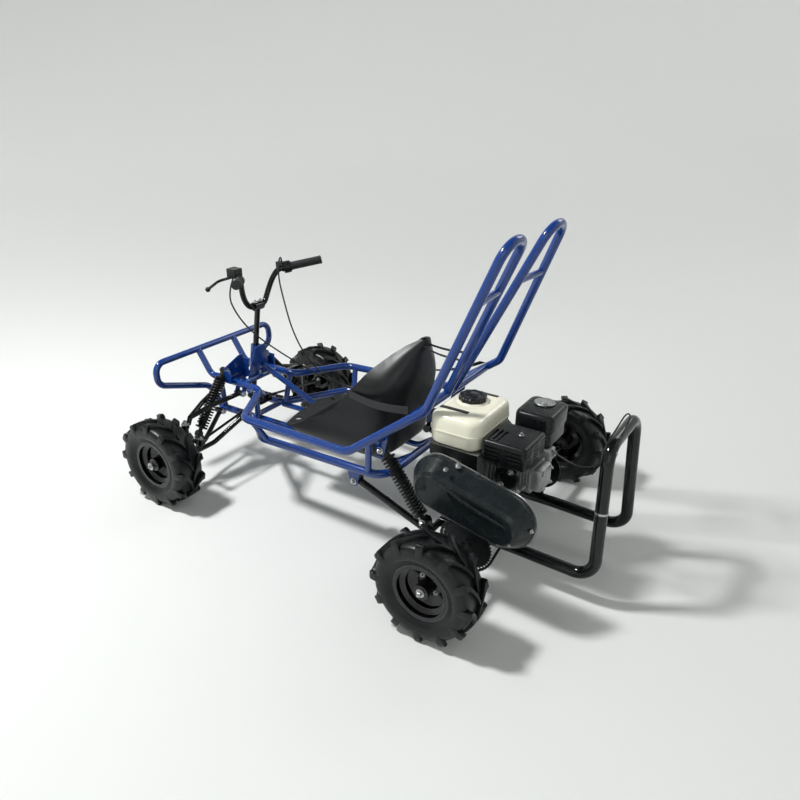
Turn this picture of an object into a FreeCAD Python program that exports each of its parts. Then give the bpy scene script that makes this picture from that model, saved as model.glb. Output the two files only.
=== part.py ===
"""Off-road buggy: tube frame, handlebar steering, four lugged tyres and a rear engine on a swing arm.

Millimetres. +X is the vehicle's left, -Y its front, +Z up. The origin is on the ground under the middle.
"""

import FreeCAD
import Part
import math
import os
from types import SimpleNamespace

from FreeCAD import Matrix, Placement, Rotation, Vector

SIZES = {
    "tube_od": 28.6,
    "post_od": 22.0,
    "bumper_od": 25.4,
    "guard_od": 38.0,
    "arm_od": 19.0,
    "swing_od": 25.0,
    "bar_od": 22.2,
    "grip_od": 34.0,
    "column_od": 22.0,
    "tie_od": 10.0,
    "bolt_od": 10.0,
    "axle_od": 25.0,
    "spindle_od": 17.0,
    "cable_od": 6.0,
    "plate": 4.0,
    "bend": 60.0,
    "run_gap": 0.3,
    "wheelbase": 1180.0,
    "rear_axle_y": 495.0,
    "rear_wheel_x": 528.0,
    "front_wheel_x": 464.0,
    "tyre_radius": 165.0,
    "tyre_width": 116.0,
    "tread_width": 102.0,
    "tyre_wall": 9.0,
    "lug_height": 13.0,
    "lug_count": 12.0,
    "rim_radius": 89.0,
    "rim_width": 92.0,
    "rim_wall": 3.0,
    "hub_radius": 24.0,
    "hub_length": 84.0,
    "nose_reach": 80.0,
    "nose_half": 96.0,
    "nose_top_z": 358.0,
    "nose_bend_back": 163.0,
    "flare_half": 308.0,
    "flare_back": 273.0,
    "flare_z": 349.0,
    "cockpit_half": 322.0,
    "cockpit_y": 62.0,
    "cockpit_z": 363.0,
    "low_nose_half": 82.0,
    "low_nose_z": 218.0,
    "low_bend_back": 95.0,
    "low_half": 264.0,
    "low_flare_back": 315.0,
    "low_flare_z": 262.0,
    "low_rear_z": 274.0,
    "cross_y": 168.0,
    "floor_half": 74.0,
    "hoop_base_x": 255.0,
    "hoop_base_y": 311.0,
    "hoop_base_z": 548.0,
    "hoop_top_x": 210.0,
    "hoop_top_y": 519.0,
    "hoop_top_z": 1066.0,
    "hoop_inner_x": 88.0,
    "hoop_foot_x": 22.0,
    "tie_bar_z": 505.0,
    "crossbar_drop": 171.0,
    "bumper_reach": 173.0,
    "bumper_half": 312.0,
    "bumper_top_z": 455.0,
    "bumper_low_z": 370.0,
    "kingpin_x": 345.0,
    "ball_top_z": 256.0,
    "ball_low_z": 128.0,
    "ball_height": 14.0,
    "arm_top_x": 110.0,
    "arm_top_z": 322.0,
    "arm_low_x": 114.0,
    "arm_low_z": 216.0,
    "arm_spread": 120.0,
    "front_shock_top_x": 112.0,
    "front_shock_lean": 15.0,
    "front_shock_top_z": 402.0,
    "front_shock_low_x": 286.0,
    "front_shock_low_z": 200.0,
    "front_spring_od": 48.0,
    "damper_od": 26.0,
    "head_back": 81.0,
    "head_z": 640.0,
    "head_rake": 9.1,
    "sleeve_od": 40.0,
    "sleeve_low_z": 350.0,
    "sleeve_top_z": 490.0,
    "pitman_z": 262.0,
    "pitman_arm": 60.0,
    "pitman_half": 28.0,
    "pitman_gap": 6.0,
    "knuckle_arm": 80.0,
    "knuckle_arm_z": 205.0,
    "bar_clamp_z": 656.0,
    "bar_low_half": 42.0,
    "bar_bend_half": 108.0,
    "bar_rise": 128.0,
    "bar_half": 228.0,
    "bar_sweep": 131.0,
    "grip_length": 118.0,
    "pivot_x": 235.0,
    "pivot_y": 36.0,
    "pivot_z": 212.0,
    "rail_half": 160.0,
    "rail_z": 107.0,
    "rail_front_y": 325.0,
    "rail_end_y": 600.0,
    "guard_y": 852.0,
    "guard_top_half": 130.0,
    "guard_top_z": 520.0,
    "shock_x": 246.0,
    "shock_top_y": 150.0,
    "shock_top_z": 368.0,
    "shock_low_y": 312.0,
    "shock_low_z": 150.0,
    "rear_spring_od": 50.0,
    "sprocket_radius": 90.0,
    "pinion_radius": 22.0,
    "chain_x": 300.0,
    "chain_width": 10.0,
    "disc_radius": 80.0,
    "disc_x": 262.0,
    "crank_y": 408.0,
    "crank_z": 368.0,
    "case_left_x": 250.0,
    "case_half": 82.0,
    "engine_base_z": 258.0,
    "head_end_y": 600.0,
    "tank_length": 250.0,
    "tank_front_y": 312.0,
    "tank_width": 178.0,
    "tank_low_z": 445.0,
    "tank_seam_z": 500.0,
    "tank_top_z": 550.0,
    "recoil_radius": 98.0,
    "recoil_depth": 75.0,
    "cover_back_x": 318.0,
    "cover_depth": 70.0,
    "cover_back_radius": 89.0,
    "cover_face_radius": 48.0,
    "jack_y": 628.0,
    "jack_z": 318.0,
    "seat_half": 174.0,
    "seat_front_back": 340.0,
    "seat_floor_z": 250.0,
    "seat_lip_z": 285.0,
    "seat_top_y": 168.0,
    "seat_top_z": 675.0,
    "seat_wall": 5.0,
}

doc = FreeCAD.newDocument("buggy")
sheet = doc.addObject("Spreadsheet::Sheet", "sizes")
for row, (alias, value) in enumerate(SIZES.items(), start=1):
    sheet.set("A%d" % row, alias)
    sheet.set("B%d" % row, str(value))
    sheet.setAlias("B%d" % row, alias)
doc.recompute()
dim = SimpleNamespace(**{alias: float(sheet.get(alias)) for alias in SIZES})

LEFT = Vector(1, 0, 0)
RIGHT = Vector(-1, 0, 0)
REAR = Vector(0, 1, 0)
UP = Vector(0, 0, 1)
NODES = []


def node(label, item):
    """Keeps an object as one piece of the buggy, under its own name."""
    item.Label = label
    NODES.append(item)
    return item


def other_side(point):
    """The point's mirror image on the other side of the vehicle."""
    return Vector(-point.x, point.y, point.z)


def between(start, end, part):
    """The point at a share of the way from start to end."""
    return start + (end - start) * part


def aligned(origin, direction):
    """A placement at origin whose Z axis points along direction."""
    return Placement(origin, Rotation(UP, direction))


def framed(origin, across, along):
    """A placement at origin whose X and Y axes point along two given directions."""
    x_way = Vector(across).normalize()
    z_way = x_way.cross(along).normalize()
    y_way = z_way.cross(x_way)
    return Placement(Matrix(
        x_way.x, y_way.x, z_way.x, origin.x,
        x_way.y, y_way.y, z_way.y, origin.y,
        x_way.z, y_way.z, z_way.z, origin.z,
        0, 0, 0, 1))


def rounded(points, radii, closed=False):
    """Straight runs joined by tangent arcs: pairs of points are lines, and triples arcs."""
    count = len(points)
    corners = range(count) if closed else range(1, count - 1)
    if not isinstance(radii, (list, tuple)):
        radii = [radii] * len(corners)
    joints = []
    for radius, index in zip(radii, corners):
        corner = points[index]
        if radius == 0:
            joints.append((corner, None, corner))
            continue
        back = (points[index - 1] - corner).normalize()
        ahead = (points[(index + 1) % count] - corner).normalize()
        turn = math.pi - back.getAngle(ahead)
        reach = radius * math.tan(turn / 2)
        bisector = (back + ahead).normalize()
        middle = corner + bisector * (radius / math.cos(turn / 2) - radius)
        joints.append((corner + back * reach, middle, corner + ahead * reach))
    runs = []
    start = joints[-1][2] if closed else points[0]
    for first, middle, last in joints:
        if (first - start).Length > 1e-6:
            runs.append((start, first))
        if middle is not None:
            runs.append((first, middle, last))
        start = last
    if not closed:
        runs.append((start, points[-1]))
    return runs


def edge(run):
    """The curve of one run: a line through two points, or an arc through three."""
    if len(run) == 2:
        return Part.LineSegment(run[0], run[1])
    return Part.Arc(run[0], run[1], run[2])


def wire_of(runs):
    return Part.Wire([edge(run).toShape() for run in runs])


def rod(name, start, end, diameter):
    """A straight round bar between two points, its diameter bound to the sheet."""
    bar = doc.addObject("Part::Cylinder", name)
    bar.setExpression("Radius", "sizes.%s / 2" % diameter)
    bar.Height = (end - start).Length
    bar.Placement = aligned(start, end - start)
    return bar


def tube(name, points, diameter, bends=None):
    """A round bar bent along its centre line, its diameter bound to the sheet."""
    wire = wire_of(rounded(points, dim.bend if bends is None else bends))
    spine = doc.addObject("Part::Feature", name + "_line")
    spine.Shape = wire
    section = doc.addObject("Part::Circle", name + "_section")
    section.setExpression("Radius", "sizes.%s / 2" % diameter)
    section.Placement = aligned(points[0], points[1] - points[0])
    sweep = doc.addObject("Part::Sweep", name)
    sweep.Sections = [section]
    sweep.Spine = (spine, ["Edge%d" % (number + 1) for number in range(len(wire.Edges))])
    sweep.Solid = True
    doc.recompute()
    expected = math.pi * (getattr(dim, diameter) / 2) ** 2 * wire.Length
    if abs(sweep.Shape.Volume - expected) > 0.02 * expected:
        raise ValueError("%s has the wrong volume" % name)
    return sweep


def disc(name, centre, direction, radius, thickness):
    """A round plate or boss centred on a point."""
    plate = doc.addObject("Part::Cylinder", name)
    plate.Radius = radius
    plate.Height = thickness
    way = Vector(direction).normalize()
    plate.Placement = aligned(centre - way * (thickness / 2), way)
    return plate


def block(name, low, high):
    """A box between two corners."""
    item = doc.addObject("Part::Box", name)
    item.Length = high.x - low.x
    item.Width = high.y - low.y
    item.Height = high.z - low.z
    item.Placement = Placement(low, Rotation())
    return item


def sketched(name, runs):
    """A body with one closed sketch in its XY plane."""
    body = doc.addObject("PartDesign::Body", name)
    sketch = body.newObject("Sketcher::SketchObject", name + "_sketch")
    plane = [item for item in body.Origin.OriginFeatures if item.Role == "XY_Plane"][0]
    sketch.AttachmentSupport = [(plane, "")]
    sketch.MapMode = "FlatFace"
    for run in runs:
        sketch.addGeometry(edge(run), False)
    return body, sketch


def padded(name, runs, placement, thickness):
    """A sketched outline padded to a thickness, which is a size's name or a number."""
    body, sketch = sketched(name, runs)
    pad = body.newObject("PartDesign::Pad", name + "_pad")
    pad.Profile = sketch
    if isinstance(thickness, str):
        pad.setExpression("Length", "sizes.%s" % thickness)
    else:
        pad.Length = thickness
    body.Tip = pad
    body.Placement = placement
    return body


def revolved(name, runs, centre, axis):
    """A body of revolution. Each point of its outline holds the radius and the distance along the axis."""
    body, sketch = sketched(name, runs)
    spin = body.newObject("PartDesign::Revolution", name + "_spin")
    spin.Profile = sketch
    spin.ReferenceAxis = (sketch, ["V_Axis"])
    spin.Angle = 360.0
    body.Tip = spin
    body.Placement = Placement(centre, Rotation(REAR, axis))
    return body


def polygon(points):
    """The closed runs of a polygon."""
    return [(points[index - 1], points[index]) for index in range(len(points))]


def fuse(name, items):
    """Items welded or moulded into one piece."""
    joined = doc.addObject("Part::MultiFuse", name)
    joined.Shapes = items
    joined.Refine = True
    return joined


def cut(name, base, tools):
    """A piece less the space that its neighbours or holes take."""
    result = doc.addObject("Part::Cut", name)
    result.Base = base
    result.Tool = tools[0] if len(tools) == 1 else fuse(name + "_tools", tools)
    return result


def mirror(name, item):
    """The same piece on the other side of the vehicle."""
    twin = doc.addObject("Part::Mirroring", name)
    twin.Source = item
    twin.Normal = LEFT
    twin.Base = Vector(0, 0, 0)
    return twin


def loft(name, wires):
    """A solid with straight sides through closed sections."""
    sections = []
    for index, wire in enumerate(wires):
        section = doc.addObject("Part::Feature", "%s_section_%d" % (name, index))
        section.Shape = wire
        sections.append(section)
    solid = doc.addObject("Part::Loft", name)
    solid.Sections = sections
    solid.Solid = True
    solid.Ruled = True
    return solid


def level_rectangle(x_low, x_high, y_low, y_high, height, radii):
    """A level rectangle with round corners, as a wire."""
    corners = [Vector(x_low, y_low, height), Vector(x_high, y_low, height),
               Vector(x_high, y_high, height), Vector(x_low, y_high, height)]
    return wire_of(rounded(corners, radii, closed=True))


def stadium(front, rear, radius):
    """The closed runs of two half circles about two centres in a plane."""
    along = (rear - front).normalize()
    across = Vector(-along.y, along.x, 0)
    return [
        (front + across * radius, front - along * radius, front - across * radius),
        (front - across * radius, rear - across * radius),
        (rear - across * radius, rear + along * radius, rear + across * radius),
        (rear + across * radius, front + across * radius),
    ]


# Tyres and rims

def lug_row(body, name, side, turn, outline, root, crest, axis):
    """One row of lugs round a tyre: an outline padded outward from the carcass and repeated about the axle."""
    sketch = body.newObject("Sketcher::SketchObject", name + "_sketch")
    sketch.Placement = Placement(Vector(0, 0, 0), Rotation(REAR, turn)) * framed(LEFT * root, REAR, UP)
    corners = [Vector(side * along, around, 0) for along, around in outline]
    for run in polygon(corners):
        sketch.addGeometry(edge(run), False)
    pad = body.newObject("PartDesign::Pad", name + "_pad")
    pad.Profile = sketch
    pad.Length = crest - root
    ring = body.newObject("PartDesign::PolarPattern", name + "_ring")
    ring.Originals = [pad]
    ring.Axis = (axis, ["V_Axis"])
    ring.Angle = 360.0
    ring.Occurrences = int(dim.lug_count)
    return ring


def make_tyre(name, centre):
    """A tyre's hollow body with its two staggered rows of swept lugs."""
    half = dim.tyre_width / 2
    tread = dim.tread_width / 2
    wall = dim.tyre_wall
    crown = dim.tyre_radius - dim.lug_height
    shoulder = crown - 4
    bead = dim.rim_radius - 8
    foot = dim.rim_width / 2 - dim.rim_wall - dim.run_gap
    belly = (dim.rim_radius + shoulder) / 2

    def at(along, radius):
        return Vector(radius, along, 0)

    runs = [
        (at(-foot, bead), at(-foot, dim.rim_radius)),
        (at(-foot, dim.rim_radius), at(-half, belly), at(-tread, shoulder)),
        (at(-tread, shoulder), at(0, crown), at(tread, shoulder)),
        (at(tread, shoulder), at(half, belly), at(foot, dim.rim_radius)),
        (at(foot, dim.rim_radius), at(foot, bead)),
        (at(foot, bead), at(foot - wall, bead)),
        (at(foot - wall, bead), at(half - wall, belly), at(tread - wall, shoulder - wall)),
        (at(tread - wall, shoulder - wall), at(wall - tread, shoulder - wall)),
        (at(wall - tread, shoulder - wall), at(wall - half, belly), at(wall - foot, bead)),
        (at(wall - foot, bead), at(-foot, bead)),
    ]
    body = revolved(name, runs, centre, LEFT)
    axis = body.Tip.Profile[0]
    path = [(tread + 3, -23, 20), (tread - 13, -19, 20), (0.4 * tread, -2, 19), (-3, 22, 15)]
    outline = [(along, around - width / 2) for along, around, width in path]
    outline += [(along, around + width / 2) for along, around, width in reversed(path)]
    root = shoulder - 4
    crest = math.sqrt(dim.tyre_radius ** 2 - 33 ** 2)
    lug_row(body, name + "_outer_lugs", 1, 0, outline, root, crest, axis)
    body.Tip = lug_row(body, name + "_inner_lugs", -1, 180 / dim.lug_count, outline, root, crest, axis)
    return body


def make_rim(name, centre, outward, bore):
    """A steel rim with bead seats, drop centre, dished disc and hub tube, its open side outward."""
    rim = dim.rim_radius
    half = dim.rim_width / 2
    wall = dim.rim_wall
    seat = rim - 8 - dim.run_gap
    well = rim - 22
    hub = dim.hub_radius
    reach = dim.hub_length / 2
    outline = [
        (-half, rim), (wall - half, rim), (wall - half, seat), (18 - half, seat), (26 - half, well),
        (half - 26, well), (half - 18, seat), (half - wall, seat), (half - wall, rim), (half, rim),
        (half, seat - wall), (half - 17, seat - wall), (half - 25, well - wall), (6, well - wall),
        (-6, hub + 14), (-6, hub), (reach, hub), (reach, bore), (-reach, bore), (-reach, hub),
        (-6 - wall, hub), (-6 - wall, hub + 15), (2, well - wall), (25 - half, well - wall),
        (17 - half, seat - wall), (-half, seat - wall),
    ]
    return revolved(name, polygon([Vector(radius, along, 0) for along, radius in outline]), centre, outward)


front_axle_y = dim.rear_axle_y - dim.wheelbase
nose_front_y = front_axle_y - dim.nose_reach
nose_bend_y = front_axle_y + dim.nose_bend_back
flare_y = front_axle_y + dim.flare_back
low_bend_y = front_axle_y + dim.low_bend_back
low_flare_y = front_axle_y + dim.low_flare_back
bumper_y = front_axle_y - dim.bumper_reach
front_shock_top_y = front_axle_y - dim.front_shock_lean
head_y = front_axle_y + dim.head_back
seat_front_y = front_axle_y + dim.seat_front_back
wheel_z = dim.tyre_radius
axle_bore = dim.axle_od / 2
spindle_bore = dim.spindle_od / 2 + dim.run_gap
AXLES = [
    ("front", Vector(dim.front_wheel_x, front_axle_y, wheel_z), spindle_bore),
    ("rear", Vector(dim.rear_wheel_x, dim.rear_axle_y, wheel_z), axle_bore),
]
for end, centre, bore in AXLES:
    tyre = make_tyre(end + "_tyre_body", centre)
    rim = make_rim(end + "_rim_body", centre, LEFT, bore)
    node(end + "_left_tyre", tyre)
    node(end + "_right_tyre", mirror(end + "_tyre_twin", tyre))
    node(end + "_left_rim", rim)
    node(end + "_right_rim", mirror(end + "_rim_twin", rim))

# Side frames: upper rail, lower rail with its half of the rear cross tube, and posts

nose_end = Vector(dim.nose_half, nose_front_y, dim.nose_top_z)
nose_bend = Vector(dim.nose_half + 4, nose_bend_y, dim.nose_top_z - 2)
flare = Vector(dim.flare_half, flare_y, dim.flare_z)
cockpit = Vector(dim.cockpit_half, dim.cockpit_y, dim.cockpit_z)
hoop_base = Vector(dim.hoop_base_x, dim.hoop_base_y, dim.hoop_base_z)
hoop_top = Vector(dim.hoop_top_x, dim.hoop_top_y, dim.hoop_top_z)
hoop_joint = hoop_base + (hoop_top - hoop_base).normalize() * 60
low_nose = Vector(dim.low_nose_half, nose_front_y, dim.low_nose_z)
low_bend = Vector(dim.low_nose_half, low_bend_y, dim.low_nose_z)
low_flare = Vector(dim.low_half, low_flare_y, dim.low_flare_z)
low_corner = Vector(dim.low_half, dim.cross_y, dim.low_rear_z)
cross_middle = Vector(0, dim.cross_y, dim.low_rear_z)

upper_rail = tube("upper_rail", [nose_end, nose_bend, flare, cockpit, hoop_base, hoop_joint], "tube_od")
lower_rail = tube("lower_rail", [low_nose, low_bend, low_flare, low_corner, cross_middle], "tube_od")
nose_post = rod("nose_post", low_nose + REAR * 20, nose_end + REAR * 20, "post_od")
bend_post = rod("bend_post", low_bend + REAR * 25, nose_bend - REAR * 25, "post_od")
front_post = rod(
    "front_post", between(low_flare, low_corner, 0.05), between(flare, cockpit, 0.09), "post_od")
rear_post = rod(
    "rear_post", between(low_flare, low_corner, 0.88), between(cockpit, hoop_base, 0.29), "post_od")


def pivot_ears(name, pivot, carrier):
    """Two plates that hold one end of a suspension arm on its tube."""
    plates = []
    for index, offset in enumerate((-15 - dim.plate, 15)):
        outline = [
            Vector(carrier.x - 10, carrier.z, 0), Vector(carrier.x + 10, carrier.z, 0),
            Vector(pivot.x + 13, pivot.z, 0), Vector(pivot.x, pivot.z - 13, 0),
            Vector(pivot.x - 13, pivot.z, 0)]
        place = framed(REAR * (pivot.y + offset + dim.plate), LEFT, UP)
        plates.append(padded("%s_%d" % (name, index), polygon(outline), place, "plate"))
    return plates


arm_half = dim.arm_spread / 2
top_pivots = [Vector(dim.arm_top_x, front_axle_y + shift, dim.arm_top_z) for shift in (-arm_half, arm_half)]
low_pivots = [Vector(dim.arm_low_x, front_axle_y + shift, dim.arm_low_z) for shift in (-arm_half, arm_half)]
ears = []
for index in range(2):
    ears += pivot_ears("top_ears_%d" % index, top_pivots[index], nose_end)
    ears += pivot_ears("low_ears_%d" % index, low_pivots[index], low_nose)
side_left = fuse("side_left", [upper_rail, lower_rail, nose_post, bend_post, front_post, rear_post] + ears)
side_right = mirror("side_right", side_left)
node("frame_side_left", side_left)
node("frame_side_right", side_right)

# Roll hoops and the cross members

tie_end = between(cockpit, hoop_base, (dim.tie_bar_z - cockpit.z) / (hoop_base.z - cockpit.z))
tie_bar = rod("tie_bar", other_side(tie_end), tie_end, "tube_od")
hoop_inner = Vector(dim.hoop_inner_x, dim.hoop_top_y, dim.hoop_top_z)
hoop_foot = Vector(dim.hoop_foot_x, tie_end.y, dim.tie_bar_z)
crossbar_z = dim.hoop_top_z - dim.crossbar_drop
hoop_line = tube("hoop_line", [hoop_joint, hoop_top, hoop_inner, hoop_foot], "tube_od")
outer_part = (crossbar_z - hoop_base.z) / (hoop_top.z - hoop_base.z)
inner_part = (crossbar_z - hoop_foot.z) / (hoop_inner.z - hoop_foot.z)
crossbar = rod(
    "crossbar", between(hoop_base, hoop_top, outer_part),
    between(hoop_foot, hoop_inner, inner_part), "post_od")
hoop_left = cut("hoop_left", fuse("hoop_left_bars", [hoop_line, crossbar]), [tie_bar])
node("roll_hoop_left", hoop_left)
node("roll_hoop_right", mirror("hoop_right", hoop_left))

floor_z = dim.seat_floor_z - 28
floor_rail = tube("floor_rail", [
    Vector(dim.floor_half, low_bend_y + 20, dim.low_nose_z), Vector(dim.floor_half, seat_front_y + 45, floor_z),
    Vector(dim.floor_half, 90, floor_z), Vector(dim.floor_half, dim.cross_y, dim.low_rear_z)], "post_od")
seat_posts = []
for index, station in enumerate((seat_front_y + 145, 20)):
    seat_posts.append(rod(
        "seat_post_%d" % index, Vector(dim.floor_half, station, floor_z),
        Vector(dim.floor_half, station, dim.seat_floor_z), "bolt_od"))
floor_side = fuse("floor_side", [floor_rail] + seat_posts)
nose_cross = rod("nose_cross", other_side(low_bend), low_bend, "post_od")
cross_bars = cut("cross_bars", fuse("cross_bar_set", [
    tie_bar, floor_side, mirror("floor_twin", floor_side), nose_cross]), [side_left, side_right])
node("frame_cross_bars", cross_bars)

# Steering head

rake = math.radians(dim.head_rake)
column_way = Vector(0, math.sin(rake), math.cos(rake))
behind = Vector(0, column_way.z, -column_way.y)


def on_column(height):
    """The point of the steering axis at a height."""
    return Vector(0, head_y, dim.head_z) + column_way * ((height - dim.head_z) / column_way.z)


head_offset = dim.sleeve_od / 2
head_height = (dim.sleeve_top_z - dim.sleeve_low_z) / column_way.z
head_place = framed(on_column(dim.sleeve_low_z) + behind * (head_offset + dim.plate), LEFT, column_way)
arch = 17
head_corners = [
    Vector(62, 0, 0), Vector(36, head_height - 20, 0), Vector(26, head_height + 8, 0),
    Vector(-26, head_height + 8, 0), Vector(-36, head_height - 20, 0), Vector(-62, 0, 0),
    Vector(-arch, 0, 0), Vector(-arch, 82, 0), Vector(arch, 82, 0), Vector(arch, 0, 0)]
head_runs = rounded(head_corners, [0, 60, 20, 20, 60, 0, 0, 16, 16, 0], closed=True)
head_plate = padded("head_plate", head_runs, head_place, "plate")
sleeve = disc(
    "sleeve", on_column((dim.sleeve_low_z + dim.sleeve_top_z) / 2), column_way, head_offset, head_height)
column_room = disc(
    "column_room", on_column(dim.sleeve_top_z), column_way, dim.column_od / 2 + dim.run_gap, 4 * head_height)
head_foot = on_column(dim.sleeve_low_z) + behind * (head_offset + dim.post_od / 2)
head_bar = rod(
    "head_bar", Vector(-dim.nose_half, head_foot.y, dim.nose_top_z),
    Vector(dim.nose_half, head_foot.y, dim.nose_top_z), "post_od")
brace = rod(
    "brace", on_column(400) + Vector(-20, 30, 0), Vector(-dim.floor_half, seat_front_y + 27, floor_z + 8),
    "post_od")
head = cut("head", fuse("head_set", [head_plate, sleeve, head_bar, brace]), [
    column_room, side_left, side_right, cross_bars])
node("steering_head", head)

# Shock towers on the nose

tower_inner = 25
tower_outer = dim.front_shock_top_x + 14
tower_low = dim.nose_top_z
tower_top = dim.front_shock_top_z + 46
tower_y = front_shock_top_y + 14
tower_runs = rounded([
    Vector(tower_inner, tower_low, 0), Vector(tower_outer, tower_low, 0),
    Vector(tower_outer, dim.front_shock_top_z + 16, 0), Vector(tower_inner + 20, tower_top, 0),
    Vector(tower_inner, tower_top, 0)], [0, 0, 10, 10, 0], closed=True)
tower_face = padded("tower_face", tower_runs, framed(REAR * (tower_y + dim.plate), LEFT, UP), "plate")
tower_web = block(
    "tower_web", Vector(tower_inner, tower_y + 1, tower_low),
    Vector(tower_inner + dim.plate, tower_y + 34, tower_top - 12))
tower_rib = block(
    "tower_rib", Vector(tower_outer - dim.plate, tower_y + 1, tower_low),
    Vector(tower_outer, tower_y + 34, dim.front_shock_top_z + 6))
shock_top_bolt = rod(
    "shock_top_bolt", Vector(dim.front_shock_top_x, tower_y + 2, dim.front_shock_top_z),
    Vector(dim.front_shock_top_x, front_shock_top_y - 20, dim.front_shock_top_z), "bolt_od")
tower_side = fuse("tower_side", [tower_face, tower_web, tower_rib, shock_top_bolt])
tower_bar = rod(
    "tower_bar", Vector(-dim.nose_half, tower_y + 6, dim.nose_top_z),
    Vector(dim.nose_half, tower_y + 6, dim.nose_top_z), "post_od")
tower = cut("tower", fuse("tower_set", [tower_side, mirror("tower_twin", tower_side), tower_bar]), [
    side_left, side_right, head])
node("shock_tower", tower)

# Front bumper

bumper_corner = Vector(dim.bumper_half, bumper_y, dim.bumper_top_z)
bumper_turn = Vector(dim.bumper_half, bumper_y + 5, dim.bumper_low_z)
bumper_knee = Vector(dim.low_nose_half + 3, bumper_y + 38, dim.bumper_low_z - 70)
bumper_loop = tube("bumper_loop", [
    Vector(0, bumper_y, dim.bumper_top_z), bumper_corner, bumper_turn, bumper_knee, low_nose], "bumper_od", 40)
bumper_strut = tube("bumper_strut", [
    Vector(dim.nose_half, bumper_y, dim.bumper_top_z), nose_end - REAR * 28, nose_end], "bumper_od", 40)
bumper_left = fuse("bumper_left", [bumper_loop, bumper_strut])
bumper = cut("bumper", fuse("bumper_set", [bumper_left, mirror("bumper_right", bumper_left)]), [
    side_left, side_right])
node("front_bumper", bumper)

# Front suspension arms

ball_top = Vector(dim.kingpin_x, front_axle_y, dim.ball_top_z)
ball_low = Vector(dim.kingpin_x, front_axle_y, dim.ball_low_z)
eye_radius = 15


def make_arm(name, ball, pivots, rise, sag):
    """A two-legged arm: bent legs from its two bushes to the eye at its ball joint, rise above it."""
    root = ball + Vector(-eye_radius - 12, 0, rise)
    parts = [
        disc(name + "_eye", ball, UP, eye_radius, dim.ball_height),
        tube(name + "_neck", [root, ball + Vector(1 - eye_radius, 0, 0)], "arm_od")]
    for index, pivot in enumerate(pivots):
        knee = between(pivot, root, 0.6) - UP * sag
        parts.append(tube("%s_leg_%d" % (name, index), [pivot, knee, root], "arm_od", 80))
        parts.append(disc("%s_bush_%d" % (name, index), pivot, REAR, 12, 30))
    return parts


shock_low = Vector(dim.front_shock_low_x, front_axle_y, dim.front_shock_low_z)
arm_saddle = block(
    "arm_saddle", shock_low - Vector(12, 14, shock_low.z - dim.ball_low_z - 14),
    shock_low + Vector(12, 14, -10))
upper_arm = make_arm("upper_arm", ball_top, top_pivots, 26, -6)
lower_arm = make_arm("lower_arm", ball_low, low_pivots, 4, 18)
arms_left = cut("arms_left", fuse("arms_left_set", upper_arm + lower_arm + [arm_saddle]), [side_left])
node("front_arms_left", arms_left)
node("front_arms_right", mirror("arms_right", arms_left))


def make_shock(name, low, top, spring_od, across, head_room):
    """A damper between two eyes, with its coil spring, which ends head_room below the top."""
    way = (top - low).normalize()
    length = (top - low).Length
    spring = spring_od / 2
    core = dim.damper_od / 2 - 1
    start = 30
    end = length - head_room
    coils = 12
    pitch = (end - start) / coils
    outline = [(0, 0), (8, 0), (8, start - 5), (spring, start - 5), (spring, start)]
    for turn in range(coils):
        outline += [(core, start + pitch * (turn + 0.5)), (spring, start + pitch * (turn + 1))]
    outline += [(spring, end + 5), (core, end + 5), (core, length - 10), (0, length - 10)]
    runs = polygon([Vector(radius, along, 0) for radius, along in outline])
    body = revolved(name + "_coil", runs, low, way)
    return fuse(name, [
        body, disc(name + "_low_eye", low, across, 13, 24), disc(name + "_top_eye", top, across, 13, 24)])


shock_top = Vector(dim.front_shock_top_x, front_shock_top_y, dim.front_shock_top_z)
front_shock_set = make_shock("front_shock_set", shock_low, shock_top, dim.front_spring_od, REAR, 58)
front_shock = cut("front_shock", front_shock_set, [tower, arms_left])
node("front_shock_left", front_shock)
node("front_shock_right", mirror("front_shock_twin", front_shock))

# Knuckles and tie rods

ball_reach = dim.ball_height / 2 + dim.run_gap
knuckle_post = rod("knuckle_post", ball_low + UP * ball_reach, ball_top - UP * ball_reach, "post_od")
stub = Vector(dim.kingpin_x, front_axle_y, wheel_z)
spindle_end = Vector(dim.front_wheel_x + dim.hub_length / 2 + 16, front_axle_y, wheel_z)
spindle = rod("spindle", stub, spindle_end, "spindle_od")
shoulder_x = dim.front_wheel_x - dim.hub_length / 2 - dim.run_gap
shoulder = disc(
    "shoulder", Vector((dim.kingpin_x + shoulder_x) / 2, front_axle_y, wheel_z), LEFT, 16,
    shoulder_x - dim.kingpin_x)
nut_length = 16 - dim.run_gap
spindle_nut = disc("spindle_nut", spindle_end - LEFT * (nut_length / 2), LEFT, 14, nut_length)
tie_eye = Vector(dim.kingpin_x, front_axle_y + dim.knuckle_arm, dim.knuckle_arm_z)
eye_height = 10
knuckle_arm = rod("knuckle_arm", tie_eye - REAR * dim.knuckle_arm, tie_eye, "spindle_od")
knuckle_eye = disc("knuckle_eye", tie_eye, UP, 13, eye_height)
arm_trim = block("arm_trim", tie_eye + Vector(-20, -26, eye_height / 2), tie_eye + Vector(20, 26, 40))
knuckle = cut("knuckle", fuse("knuckle_set", [
    knuckle_post, spindle, shoulder, spindle_nut, knuckle_arm, knuckle_eye]), [arm_trim])
node("knuckle_left", knuckle)
node("knuckle_right", mirror("knuckle_twin", knuckle))

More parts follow.
